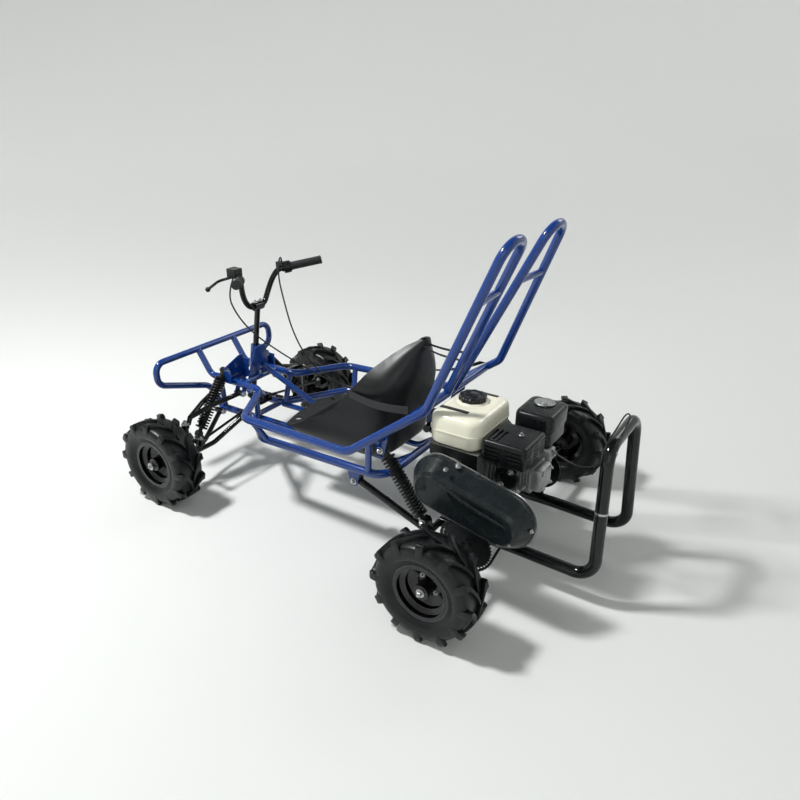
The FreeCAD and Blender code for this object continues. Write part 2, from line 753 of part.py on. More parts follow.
pitman_centre = on_column(dim.pitman_z)
pitman_pin = pitman_centre + LEFT * dim.pitman_half + behind * dim.pitman_arm
joint_height = 14
tie_outer = tie_eye + UP * (eye_height / 2 + dim.run_gap + joint_height / 2)
tie_inner = pitman_pin + UP * (dim.plate / 2 + dim.pitman_gap + joint_height / 2)
tie_rod = fuse("tie_rod", [
    rod("tie_shaft", tie_inner, tie_outer, "tie_od"), disc("tie_outer_joint", tie_outer, UP, 11, joint_height),
    disc("tie_inner_joint", tie_inner, UP, 11, joint_height)])
node("tie_rod_left", tie_rod)
node("tie_rod_right", mirror("tie_rod_twin", tie_rod))

# Handlebar, steering column, grips and controls

clamp = on_column(dim.bar_clamp_z)
bar_low = clamp + LEFT * dim.bar_low_half
bar_bend = clamp + Vector(dim.bar_bend_half, 30, dim.bar_rise)
bar_end = clamp + Vector(dim.bar_half, dim.bar_sweep, dim.bar_rise + 24)
bar_left = tube("bar_left", [clamp, bar_low, bar_bend, bar_end], "bar_od", 30)
handlebar = fuse("handlebar", [bar_left, mirror("bar_right", bar_left)])
node("handlebar", handlebar)
column = rod("column", on_column(dim.pitman_z - 8), clamp, "column_od")
pitman_runs = rounded([
    Vector(-20, -20, 0), Vector(20, -20, 0), Vector(dim.pitman_half + 14, dim.pitman_arm + 14, 0),
    Vector(-dim.pitman_half - 14, dim.pitman_arm + 14, 0)], 12, closed=True)
pitman = padded(
    "pitman", pitman_runs, framed(pitman_centre - column_way * (dim.plate / 2), LEFT, behind), "plate")
bar_clamp = disc("bar_clamp", clamp, LEFT, dim.bar_od / 2 + 6, 44)
steering_column = cut("steering_column", fuse("steering_column_set", [column, pitman, bar_clamp]), [handlebar])
node("steering_column", steering_column)
grip_way = (bar_end - bar_bend).normalize()
grip_start = bar_end - grip_way * dim.grip_length
grip_left = cut("grip_left", rod("grip_rubber", grip_start, bar_end + grip_way * 4, "grip_od"), [handlebar])
node("grips", fuse("grips_pair", [grip_left, mirror("grip_right", grip_left)]))

lever_root = grip_start - grip_way * 14
lever_clamp = disc("lever_clamp", lever_root, grip_way, dim.bar_od / 2 + 7, 24)
lever_box = block("lever_box", lever_root + Vector(-26, -50, 8), lever_root + Vector(12, -10, 40))
lever_blade = tube("lever_blade", [
    lever_root + Vector(-10, -24, 12), lever_root + Vector(40, -66, -2), lever_root + Vector(124, -30, -8)],
    "tie_od", 30)
lever_ball = doc.addObject("Part::Sphere", "lever_ball")
lever_ball.Radius = 9
lever_ball.Placement = Placement(lever_root + Vector(126, -29, -8), Rotation())
throttle_root = other_side(lever_root)
throttle_clamp = disc("throttle_clamp", throttle_root, other_side(grip_way), dim.bar_od / 2 + 12, 26)
throttle_box = block("throttle_box", throttle_root + Vector(-4, -40, -16), throttle_root + Vector(20, -4, 18))
controls = cut("controls", fuse("controls_set", [
    lever_clamp, lever_box, lever_blade, lever_ball, throttle_clamp, throttle_box]), [handlebar])
node("bar_controls", controls)

# Swing arm with its rails, hangers and engine plate

pivot = Vector(dim.pivot_x, dim.pivot_y, dim.pivot_z)
swing_corner = Vector(dim.pivot_x, dim.rail_front_y, dim.rail_z)
rail_front = Vector(dim.rail_half, dim.rail_front_y, dim.rail_z)
rail_end = Vector(dim.rail_half, dim.rail_end_y, dim.rail_z)
hanger_top = dim.engine_base_z - dim.plate
hanger = padded("hanger", rounded([
    Vector(dim.rear_axle_y - 66, dim.rail_z, 0), Vector(dim.rear_axle_y + 66, dim.rail_z, 0),
    Vector(dim.rear_axle_y + 44, hanger_top, 0), Vector(dim.rear_axle_y - 150, hanger_top, 0)],
    [0, 0, 0, 0], closed=True), framed(LEFT * (dim.rail_half - dim.plate / 2), REAR, UP), "plate")
post_x = dim.shock_x - 20
shock_post = padded("shock_post", rounded([
    Vector(dim.shock_low_y - 10, dim.rail_z, 0), Vector(dim.shock_low_y + 28, dim.rail_z, 0),
    Vector(dim.shock_low_y + 14, dim.shock_low_z + 14, 0),
    Vector(dim.shock_low_y - 14, dim.shock_low_z + 14, 0)],
    [0, 0, 12, 12], closed=True), framed(LEFT * post_x, REAR, UP), "plate")
shock_low_pin = rod(
    "shock_low_pin", Vector(post_x, dim.shock_low_y, dim.shock_low_z),
    Vector(dim.shock_x + 20, dim.shock_low_y, dim.shock_low_z), "bolt_od")
bearing = disc("bearing", Vector(dim.rail_half, dim.rear_axle_y, wheel_z), LEFT, 34, 32)
swing_side = fuse("swing_side", [
    rod("swing_rod", pivot, swing_corner, "swing_od"), disc("swing_eye", pivot, LEFT, 16, 32),
    rod("swing_rail", rail_front, rail_end, "guard_od"), hanger, bearing, shock_post, shock_low_pin])
swing_cross = rod("swing_cross", other_side(swing_corner), swing_corner, "swing_od")
engine_plate = block(
    "engine_plate", Vector(-dim.rail_half, dim.rear_axle_y - 172, hanger_top),
    Vector(dim.case_left_x, dim.rear_axle_y + 44, dim.engine_base_z))
axle_middle = Vector(0, dim.rear_axle_y, wheel_z)
axle_room = disc("axle_room", axle_middle, LEFT, dim.axle_od / 2 + dim.run_gap, 2 * dim.rear_wheel_x)
swing_arm = cut("swing_arm", fuse("swing_set", [
    swing_side, mirror("swing_twin", swing_side), swing_cross, engine_plate]), [axle_room])
node("swing_arm", swing_arm)

guard_top = Vector(dim.guard_top_half, dim.guard_y - 17, dim.guard_top_z)
guard_low = Vector(dim.rail_half, dim.guard_y, dim.rail_z - 8)
guard_left = tube("guard_left", [rail_end, guard_low, guard_top, Vector(0, guard_top.y, guard_top.z)], "guard_od")
guard = cut("guard", fuse("guard_set", [guard_left, mirror("guard_right", guard_left)]), [swing_arm])
node("rear_guard", guard)

# Rear shocks and the tabs that hold them and the swing arm

rear_low = Vector(dim.shock_x, dim.shock_low_y, dim.shock_low_z)
rear_top = Vector(dim.shock_x, dim.shock_top_y, dim.shock_top_z)
rail_over = between(cockpit, hoop_base, (dim.shock_top_y - cockpit.y) / (hoop_base.y - cockpit.y))
tab_x = dim.shock_x + 12 + dim.run_gap
shock_tab = padded("shock_tab", rounded([
    Vector(rear_top.y - 15, rear_top.z - 14, 0), Vector(rear_top.y + 15, rear_top.z - 14, 0),
    Vector(rear_top.y + 34, rail_over.z + 18, 0), Vector(rear_top.y - 24, rail_over.z - 8, 0)],
    [12, 12, 0, 0], closed=True), framed(LEFT * tab_x, REAR, UP), "plate")
tab_arm = block(
    "tab_arm", Vector(tab_x, rear_top.y - 20, rail_over.z - 16),
    Vector(rail_over.x, rear_top.y + 20, rail_over.z - 6))
shock_tab_bolt = rod("shock_tab_bolt", rear_top - LEFT * 14, rear_top + LEFT * 22, "bolt_od")
pivot_tab = padded("pivot_tab", rounded([
    Vector(pivot.y - 30, dim.low_rear_z - 4, 0), Vector(pivot.y - 12, pivot.z - 16, 0),
    Vector(pivot.y + 12, pivot.z - 16, 0), Vector(pivot.y + 30, dim.low_rear_z - 4, 0)],
    [0, 8, 8, 0], closed=True), framed(LEFT * (pivot.x + 16 + dim.run_gap), REAR, UP), "plate")
pivot_bolt = rod("pivot_bolt", pivot + LEFT * 16, pivot + LEFT * 28, "bolt_od")
rear_tabs = cut("rear_tabs", fuse("rear_tabs_set", [
    shock_tab, tab_arm, shock_tab_bolt, pivot_tab, pivot_bolt]), [side_left, swing_arm])
node("rear_tabs_left", rear_tabs)
node("rear_tabs_right", mirror("rear_tabs_twin", rear_tabs))
rear_shock_set = make_shock("rear_shock_set", rear_low, rear_top, dim.rear_spring_od, LEFT, 38)
rear_shock = cut("rear_shock", rear_shock_set, [swing_arm, rear_tabs])
node("rear_shock_left", rear_shock)
node("rear_shock_right", mirror("rear_shock_twin", rear_shock))

# Rear axle, sprocket, brake disc and caliper

axle_reach = LEFT * (dim.rear_wheel_x + dim.hub_length / 2 - 4)
axle = rod("axle", axle_middle - axle_reach, axle_middle + axle_reach, "axle_od")
node("rear_axle", axle)
sprocket_centre = axle_middle + LEFT * dim.chain_x


def toothed(name, centre, tip, depth, teeth, thickness):
    """A toothed plate square to the axles."""
    corners = []
    for index in range(2 * teeth):
        radius = tip if index % 2 else tip - depth
        angle = math.pi * index / teeth
        corners.append(Vector(radius * math.cos(angle), radius * math.sin(angle), 0))
    return padded(name, polygon(corners), framed(centre - LEFT * (thickness / 2), REAR, UP), thickness)


sprocket = fuse("sprocket_set", [
    toothed("sprocket", sprocket_centre, dim.sprocket_radius - 5, 6, 44, 4),
    disc("sprocket_hub", sprocket_centre - LEFT * 14, LEFT, 32, 32)])
node("axle_sprocket", cut("axle_sprocket", sprocket, [axle]))
disc_centre = axle_middle - LEFT * dim.disc_x
brake = fuse("brake_disc_set", [
    disc("brake_plate", disc_centre, LEFT, dim.disc_radius, 4),
    disc("brake_hub", disc_centre + LEFT * 14, LEFT, 30, 32)])
node("brake_disc", cut("brake_disc", brake, [axle]))
caliper_low = disc_centre + Vector(-24, -28, 44)
caliper_high = disc_centre + Vector(24, 24, 96)
caliper_room = disc("caliper_room", disc_centre, LEFT, dim.disc_radius + 5, 14)
caliper_arm = block(
    "caliper_arm", Vector(caliper_high.x - 1, caliper_low.y, wheel_z + 76),
    Vector(-dim.rail_half - dim.plate / 2, caliper_high.y, wheel_z + 84))
caliper = cut("caliper", fuse("caliper_set", [block("caliper_block", caliper_low, caliper_high), caliper_arm]), [
    caliper_room])
node("brake_caliper", caliper)

# Engine: crankcase, cylinder, tank, muffler, air cleaner and recoil starter

crank = Vector(dim.case_left_x, dim.crank_y, dim.crank_z)
tank_left = dim.case_left_x + 5
tank_right = tank_left - dim.tank_length
case_right_x = tank_right + 15
crankcase = block(
    "crankcase", Vector(case_right_x, crank.y - dim.case_half, dim.engine_base_z),
    Vector(dim.case_left_x, crank.y + dim.case_half, dim.tank_low_z))
boss_length = dim.cover_back_x - dim.case_left_x
boss = disc("boss", crank + LEFT * (boss_length / 2), LEFT, 48, boss_length)
recoil_left_x = tank_right - 2
neck = disc(
    "fan_neck", Vector((case_right_x + recoil_left_x) / 2, crank.y, crank.z), LEFT, dim.case_half - 6,
    case_right_x - recoil_left_x)
node("engine_block", fuse("engine_block", [crankcase, boss, neck]))

head_x = (case_right_x + dim.case_left_x) / 2
head_mid = crank.z + 6
barrel_start = crank.y + dim.case_half
fin_x = 66
fin_z = 52
fin_depth = 12
cylinder = block(
    "cylinder", Vector(head_x - fin_x + fin_depth, barrel_start, head_mid - fin_z + fin_depth),
    Vector(head_x + fin_x - fin_depth, dim.head_end_y, head_mid + fin_z - fin_depth))
fins = []
fin_total = 9
for index in range(fin_total):
    fin_y = barrel_start + (dim.head_end_y - barrel_start - 3) * (index + 1) / fin_total
    fins.append(block(
        "fin_%d" % index, Vector(head_x - fin_x, fin_y, head_mid - fin_z),
        Vector(head_x + fin_x, fin_y + 3, head_mid + fin_z)))
valve_cover = block(
    "valve_cover", Vector(head_x - 48, dim.head_end_y, head_mid - 40),
    Vector(head_x + 48, dim.head_end_y + 36, head_mid + 40))
node("cylinder_head", fuse("cylinder_head", [cylinder, valve_cover] + fins))

tank_rear = dim.tank_front_y + dim.tank_width
tank_shell = loft("tank_shell", [
    level_rectangle(tank_right + 14, tank_left - 14, dim.tank_front_y + 14, tank_rear - 14, dim.tank_low_z, 26),
    level_rectangle(tank_right, tank_left, dim.tank_front_y, tank_rear, dim.tank_seam_z, 34),
    level_rectangle(tank_right + 14, tank_left - 14, dim.tank_front_y + 14, tank_rear - 14, dim.tank_top_z, 30)])
seam_out = 2
tank_seam = loft("tank_seam", [
    level_rectangle(
        tank_right - seam_out, tank_left + seam_out, dim.tank_front_y - seam_out, tank_rear + seam_out, height, 36)
    for height in (dim.tank_seam_z - 2, dim.tank_seam_z + 2)])
cap_foot = Vector(tank_left - 150, dim.tank_front_y + 80, dim.tank_top_z)
cap_boss = disc("cap_boss", cap_foot + UP * 2, UP, 44, 6)
cap = disc("cap", cap_foot + UP * 10, UP, 30, 14)
ribs = []
rib_total = 12
for index in range(rib_total):
    rib_way = Rotation(UP, 360 * index / rib_total).multVec(LEFT)
    ribs.append(disc("cap_rib_%d" % index, cap_foot + rib_way * 29 + UP * 10, UP, 4, 14))
node("fuel_tank", fuse("fuel_tank", [tank_shell, tank_seam, cap_boss, cap] + ribs))

muffler_low = Vector(head_x - 62, tank_rear + 8, dim.tank_low_z - 15)
muffler_high = Vector(head_x + 65, dim.head_end_y + 12, dim.tank_low_z + 59)
muffler_body = loft("muffler_body", [
    level_rectangle(
        muffler_low.x + inset, muffler_high.x - inset, muffler_low.y + inset, muffler_high.y - inset, height, 12)
    for height, inset in (
        (muffler_low.z, 6), (muffler_low.z + 8, 0), (muffler_high.z - 10, 0), (muffler_high.z, 8))])
slots = []
slot_length = 20
for row in range(4):
    slot_z = muffler_low.z + 16 + 12 * row
    for column in range(2):
        slot_y = muffler_low.y + 14 + 46 * column
        slots.append(block(
            "slot_%d_%d" % (row, column), Vector(muffler_high.x - 4, slot_y, slot_z),
            Vector(muffler_high.x + 6, slot_y + 34, slot_z + 5)))
        vent_x = muffler_high.x - 52 + 22 * column
        slots.append(block(
            "vent_%d_%d" % (row, column), Vector(vent_x, muffler_high.y - 4, slot_z),
            Vector(vent_x + 16, muffler_high.y + 6, slot_z + 5)))
    top_x = muffler_low.x + 40 + 12 * row
    slots.append(block(
        "top_slot_%d" % row, Vector(top_x, muffler_low.y + 14, muffler_high.z - 4),
        Vector(top_x + 5, muffler_low.y + 50, muffler_high.z + 6)))
muffler_foot = block(
    "muffler_foot", Vector(head_x - 20, dim.head_end_y - 60, head_mid + fin_z),
    Vector(head_x + 20, dim.head_end_y - 10, muffler_low.z))
node("muffler", cut("muffler", fuse("muffler_set", [muffler_body, muffler_foot]), slots))

cleaner_low = Vector(tank_right - 92, dim.head_end_y - 82, dim.tank_low_z - 21)
cleaner_high = Vector(tank_right + 45, dim.head_end_y + 34, dim.tank_low_z + 80)
cleaner_base = loft("cleaner_base", [
    level_rectangle(cleaner_low.x + 5, cleaner_high.x - 5, cleaner_low.y + 5, cleaner_high.y - 5, height, 12)
    for height in (cleaner_low.z, cleaner_low.z + 34)])
cleaner_cover = loft("cleaner_cover", [
    level_rectangle(
        cleaner_low.x + inset, cleaner_high.x - inset, cleaner_low.y + inset, cleaner_high.y - inset, height, 16)
    for height, inset in ((cleaner_low.z + 30, 0), (cleaner_high.z - 16, 2), (cleaner_high.z, 14))])
knob_foot = Vector(cleaner_low.x + 44, cleaner_low.y + 54, cleaner_high.z)
node("air_cleaner", fuse("air_cleaner", [
    cleaner_base, cleaner_cover, disc("cleaner_knob", knob_foot + UP * 4, UP, 24, 10),
    block("intake", Vector(tank_right + 5, dim.head_end_y - 55, head_mid - 20), Vector(
        head_x - fin_x, dim.head_end_y - 10, cleaner_low.z))]))

recoil_end = dim.recoil_depth
recoil_outline = [
    (0, 0), (dim.recoil_radius, 0), (dim.recoil_radius, 24), (dim.recoil_radius - 12, 34),
    (dim.recoil_radius - 22, recoil_end - 22), (dim.recoil_radius - 34, recoil_end - 8), (46, recoil_end - 8),
    (42, recoil_end), (0, recoil_end)]
recoil_points = [Vector(radius, along, 0) for radius, along in recoil_outline]
node("recoil_starter", revolved(
    "recoil", polygon(recoil_points), Vector(recoil_left_x, crank.y, crank.z), RIGHT))

# Belt drive: back plate with the jackshaft, and its cover

front_centre = Vector(crank.y, crank.z, 0)
rear_centre = Vector(dim.jack_y, dim.jack_z, 0)


def cover_section(x, radius):
    """One section of the cover at a distance from the middle of the vehicle."""
    wire = wire_of(stadium(front_centre, rear_centre, radius))
    wire.Placement = framed(LEFT * x, REAR, UP)
    return wire


back_plate = padded(
    "back_plate", stadium(front_centre, rear_centre, dim.cover_back_radius + 4),
    framed(LEFT * dim.cover_back_x, REAR, UP), "plate")
jack_centre = Vector(dim.cover_back_x, dim.jack_y, dim.jack_z)
jack_start = Vector(dim.chain_x - 16, dim.jack_y, dim.jack_z)
pinion = disc("pinion", Vector(dim.chain_x, dim.jack_y, dim.jack_z), LEFT, dim.pinion_radius - 6, 4)
node("drive_backplate", fuse("drive_backplate", [
    back_plate, rod("jackshaft", jack_start, jack_centre, "spindle_od"), pinion]))
cover_face_x = dim.cover_back_x + dim.cover_depth
cover_foot_x = dim.cover_back_x + dim.plate
cover_form = loft("cover_form", [
    cover_section(cover_foot_x, dim.cover_back_radius), cover_section(cover_foot_x + 9, dim.cover_back_radius),
    cover_section(cover_foot_x + 12, dim.cover_back_radius - 4),
    cover_section(cover_face_x - 10, dim.cover_face_radius + 12),
    cover_section(cover_face_x, dim.cover_face_radius)])
cover_way = (rear_centre - front_centre).normalize()
cover_side = Vector(-cover_way.y, cover_way.x, 0)
recess_tip = front_centre + cover_way * 45 + cover_side * (dim.cover_face_radius - 10)
recess_knee = front_centre + cover_way * 100 - cover_side * 8
recess_low = rear_centre - cover_way * 14 - cover_side * (dim.cover_face_radius - 16)
recess_end = rear_centre + cover_way * 32 - cover_side * 6
recess_top = rear_centre + cover_way * 6 + cover_side * (dim.cover_face_radius - 12)
recess_corners = [recess_tip, recess_knee, recess_low, recess_end, recess_top]
recess_runs = rounded(recess_corners, [3, 90, 20, 20, 24], closed=True)
recess_depth = 5
recess = padded("recess", recess_runs, framed(LEFT * (cover_face_x - recess_depth), REAR, UP), 2 * recess_depth)
node("belt_cover", cut("belt_cover", cover_form, [recess]))

# Drive chain round the two sprockets

big = Vector(dim.rear_axle_y, wheel_z, 0)
chain_along = (rear_centre - big).normalize()
chain_across = Vector(-chain_along.y, chain_along.x, 0)
lean = math.asin((dim.sprocket_radius - dim.pinion_radius) / (rear_centre - big).Length)


def chain_loop(grow):
    """The closed runs of the chain at a distance from its pitch line."""
    big_radius = dim.sprocket_radius + grow
    small_radius = dim.pinion_radius + grow
    upper = chain_along * math.sin(lean) + chain_across * math.cos(lean)
    lower = chain_along * math.sin(lean) - chain_across * math.cos(lean)
    return [
        (big + upper * big_radius, big - chain_along * big_radius, big + lower * big_radius),
        (big + lower * big_radius, rear_centre + lower * small_radius),
        (rear_centre + lower * small_radius, rear_centre + chain_along * small_radius,
         rear_centre + upper * small_radius),
        (rear_centre + upper * small_radius, big + upper * big_radius),
    ]


chain_place = framed(LEFT * (dim.chain_x - dim.chain_width / 2), REAR, UP)
chain_band = cut("chain_band", padded("chain_outer", chain_loop(2.5), chain_place, "chain_width"), [
    padded("chain_inner", chain_loop(-2.5), chain_place, "chain_width")])
pitch_line = wire_of(chain_loop(0))
link_total = int(pitch_line.Length / 25.4)
links = []
stops = pitch_line.discretize(Number=2 * link_total + 1)
for index in range(link_total):
    link_start, link_end = stops[2 * index], stops[2 * index + 1]
    link_way = (link_end - link_start).normalize()
    link_side = Vector(-link_way.y, link_way.x, 0) * 4.2
    corners = [link_start - link_side, link_end - link_side, link_end + link_side, link_start + link_side]
    links.append(padded("link_%d" % index, polygon(corners), chain_place, "chain_width"))
node("drive_chain", fuse("drive_chain", [chain_band] + links))

# Seat shell

seat_depth = dim.seat_top_y - seat_front_y
SEAT_LEVELS = [
    (dim.seat_floor_z, 0.77, 0.117, 60, 70),
    (dim.seat_floor_z + 20, 0.93, 0.066, 92, 90),
    (330, 1.0, 0.039, 110, 100),
    (420, 1.0, 0.039, 128, 105),
    (505, 0.98, 0.156, 145, 110),
    (545, 0.72, 0.234, 152, 88),
    (570, 0.59, 0.273, 155, 74),
    (640, 0.36, 0.429, 162, 50),
    (690, 0.17, 0.546, 172, 20),
]


def seat_form(name, inset, lift):
    """The seat's outer or inner form, by level: height, share of width, share of depth, back and radius."""
    wires = []
    for height, share, front, back, radius in SEAT_LEVELS:
        half = dim.seat_half * share - inset
        radii = [16, 16, radius - inset, radius - inset]
        front_y = seat_front_y + seat_depth * front + inset
        wires.append(level_rectangle(-half, half, front_y, back - inset, height + lift, radii))
    return loft(name, wires)


SEAT_EDGE = [(0.027, 0), (0.25, 58), (0.443, 122), (0.55, 185), (0.62, 226), (0.694, 281), (0.848, 350)]
rim_side = [Vector(seat_front_y - 60, dim.seat_lip_z, 0)]
rim_side += [Vector(seat_front_y + seat_depth * share, dim.seat_lip_z + rise, 0) for share, rise in SEAT_EDGE]
rim_side += [
    Vector(dim.seat_top_y - 20, dim.seat_top_z, 0), Vector(dim.seat_top_y + 40, dim.seat_top_z, 0),
    Vector(dim.seat_top_y + 40, 800, 0), Vector(seat_front_y - 60, 800, 0)]
seat_trim = padded("seat_trim", polygon(rim_side), framed(LEFT * -400, REAR, UP), 800)
lip_rear = seat_front_y + 44
lip_front = seat_front_y + 6
lip = padded("lip", [
    (Vector(-dim.seat_half, lip_rear, 0), Vector(-dim.seat_half, lip_front, 0)),
    (Vector(-dim.seat_half, lip_front, 0), Vector(0, lip_front - 32, 0), Vector(dim.seat_half, lip_front, 0)),
    (Vector(dim.seat_half, lip_front, 0), Vector(dim.seat_half, lip_rear, 0)),
    (Vector(dim.seat_half, lip_rear, 0), Vector(-dim.seat_half, lip_rear, 0)),
], framed(UP * (dim.seat_lip_z - dim.seat_wall), LEFT, REAR), "seat_wall")
seat_blank = fuse("seat_blank", [seat_form("seat_outer", 0, 0), lip])
lip_hole = disc("lip_hole", Vector(105, lip_front + 8, dim.seat_lip_z), UP, 13, 4 * dim.seat_wall)
seat = cut("seat_shell", seat_blank, [
    seat_form("seat_inner", dim.seat_wall, dim.seat_wall), seat_trim, lip_hole, mirror("lip_hole_twin", lip_hole)])
node("seat", seat)

# Seat belts: a lap band's end on each side of the seat, and a shoulder strap from its back to each inner hoop leg

band_width = 26


def band(name, start, end):
    """A flat strap on edge between two points."""
    way = end - start
    runs = polygon([
        Vector(0, 0, 0), Vector(way.Length, 0, 0), Vector(way.Length, band_width, 0), Vector(0, band_width, 0)])
    return padded(name, runs, framed(start, way, UP), 3)


lap_band = band("lap_band", Vector(dim.seat_half - 5, -40, 470), Vector(tie_end.x - 16, tie_end.y, 520))
strap_top = between(hoop_foot, hoop_inner, 0.24)
strap_band = band(
    "strap_band", Vector(16, dim.seat_top_y - 7, dim.seat_top_z - 42), strap_top - UP * (band_width / 2))
belt_left = cut("belt_left", fuse("belt_left_set", [lap_band, strap_band]), [
    side_left, cross_bars, hoop_left, seat])
node("seat_belts", fuse("seat_belts", [belt_left, mirror("belt_right", belt_left)]))

# Control cables: each runs from the bar behind the column to the right lower rail, and so to the rear

def limp_bends(points):
    """The bend radii that let each corner of a free cable turn as gently as its two runs allow."""
    radii = []
    for before, corner, after in zip(points, points[1:], points[2:]):
        turn = (corner - before).getAngle(after - corner)
        shorter = min((corner - before).Length, (after - corner).Length)
        radii.append(0.45 * shorter / math.tan(turn / 2))
    print("cable bends", [round(radius) for radius in radii])
    return radii


steer = on_column(dim.head_z)
brake_line = [
    lever_root + Vector(2, -28, 8), steer + Vector(146, 0, 95), steer + Vector(112, -2, 12),
    steer + Vector(46, 8, -80),
    steer + Vector(-42, 56, -174), steer + Vector(-130, 120, -260), steer + Vector(-206, 184, -330),
    steer + Vector(-241, 274, -349),
    Vector(-239, -180, 290), Vector(-236, -20, 294), Vector(-222, 110, 302), Vector(-194, 210, 308),
    Vector(-200, 320, 302), Vector(-234, 410, 288), Vector(-262, 478, caliper_high.z)]
throttle_line = [
    throttle_root + Vector(8, -20, 18), steer + Vector(-118, 30, 192), steer + Vector(-92, 38, 172),
    steer + Vector(-82, 44, 108), steer + Vector(-76, 72, 20), steer + Vector(-74, 104, -80),
    steer + Vector(-92, 142, -178), steer + Vector(-142, 180, -268), steer + Vector(-204, 238, -332),
    Vector(-229, -270, 291), Vector(-226, -120, 291), Vector(-222, 30, 297),
    Vector(-200, 150, 312), Vector(-160, 250, 340), Vector(-128, 350, 366), Vector(-118, 450, 384),
    Vector(-84, 530, 392), Vector(10, 566, 392)]
brake_cable = tube("brake_cable", brake_line, "cable_od", limp_bends(brake_line))
throttle_cable = tube("throttle_cable", throttle_line, "cable_od", limp_bends(throttle_line))
cables = cut("cables", fuse("cable_pair", [brake_cable, throttle_cable]), [controls, caliper])
node("control_cables", cables)

doc.recompute()

problems = [item.Name for item in doc.Objects if "Invalid" in item.State or "Error" in item.State]
for item in NODES:
    if item.Shape.isNull() or not item.Shape.isValid():
        problems.append(item.Label)
    print(item.Label, len(item.Shape.Solids), round(item.Shape.Volume / 1000), item.Shape.isValid())
if problems:
    raise SystemExit("Not sound: " + ", ".join(problems))

os.makedirs("parts", exist_ok=True)
for item in NODES:
    item.Shape.exportStep("parts/%s.step" % item.Label)
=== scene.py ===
"""Dresses the off-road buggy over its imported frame: tyres, shocks, chain, cables, fasteners and finishes."""

import logging
import math
from dataclasses import dataclass
from enum import Enum
from typing import Any

import bpy
from mathutils import Matrix, Vector

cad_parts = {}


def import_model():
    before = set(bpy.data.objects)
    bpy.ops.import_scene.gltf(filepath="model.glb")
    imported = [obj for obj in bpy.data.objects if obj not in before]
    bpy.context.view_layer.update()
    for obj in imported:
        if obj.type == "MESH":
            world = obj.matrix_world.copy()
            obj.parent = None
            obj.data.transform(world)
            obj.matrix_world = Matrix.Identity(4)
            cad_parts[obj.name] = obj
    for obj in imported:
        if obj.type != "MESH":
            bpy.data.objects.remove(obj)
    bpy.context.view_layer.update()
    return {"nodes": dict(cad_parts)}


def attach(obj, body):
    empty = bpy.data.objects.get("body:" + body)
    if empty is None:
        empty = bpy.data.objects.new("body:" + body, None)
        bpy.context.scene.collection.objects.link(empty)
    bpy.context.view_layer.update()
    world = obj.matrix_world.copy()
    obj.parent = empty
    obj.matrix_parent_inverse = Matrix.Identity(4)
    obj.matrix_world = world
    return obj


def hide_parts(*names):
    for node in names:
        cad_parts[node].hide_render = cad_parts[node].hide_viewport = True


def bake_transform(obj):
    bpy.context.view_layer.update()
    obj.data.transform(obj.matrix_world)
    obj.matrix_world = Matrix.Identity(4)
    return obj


MM = 0.001
Point = tuple[float, float, float]
Box = tuple[Point, Point]
Rings = tuple[tuple[float, float], ...]
Spots = tuple[tuple[Point, Point, float], ...]
log = logging.getLogger("buggy")

UP: Point = (0, 0, 1)
# Each side's name, and its sign along X.
SIDES: tuple[tuple[str, int], ...] = (("left", 1), ("right", -1))
# Each wheel's corner, the body that it turns with, and its middle in millimetres.
WHEELS: tuple[tuple[str, str, Point], ...] = (
    ("front_left", "front_wheel_left", (464, -685, 165)),
    ("front_right", "front_wheel_right", (-464, -685, 165)),
    ("rear_left", "rear_axle", (528, 495, 165)),
    ("rear_right", "rear_axle", (-528, 495, 165)))


def linear(code: str) -> tuple[float, float, float, float]:
    """Turns a colour's sRGB hex code into linear values.

    Args:
        code: the colour, such as "#1A2B3C".

    Returns:
        Red, green, blue and alpha, as Blender's sockets take them.
    """
    parts = [int(code[place : place + 2], 16) / 255 for place in (1, 3, 5)]
    red, green, blue = [part / 12.92 if part <= 0.04045 else ((part + 0.055) / 1.055) ** 2.4 for part in parts]
    return red, green, blue, 1.0


def add_node(tree: bpy.types.NodeTree, kind: str, values: dict, links: dict, **settings: Any) -> bpy.types.Node:
    """Adds a node to a material.

    Args:
        tree: the material's node tree.
        kind: the node's type.
        values: what its unlinked sockets are set to, by name or number.
        links: the output socket that feeds each linked socket.
        **settings: the node's own settings.

    Returns:
        The new node.
    """
    node = tree.nodes.new(kind)
    for name, value in settings.items():
        setattr(node, name, value)
    for name, value in values.items():
        node.inputs[name].default_value = value
    for name, source in links.items():
        tree.links.new(source, node.inputs[name])
    return node


class Pattern(Enum):
    """How a finish's fine surface was made."""

    GRAIN = "a cloudy or moulded grain"
    BRUSHED = "lines of a brush or a lathe tool"
    WOVEN = "crossed threads"


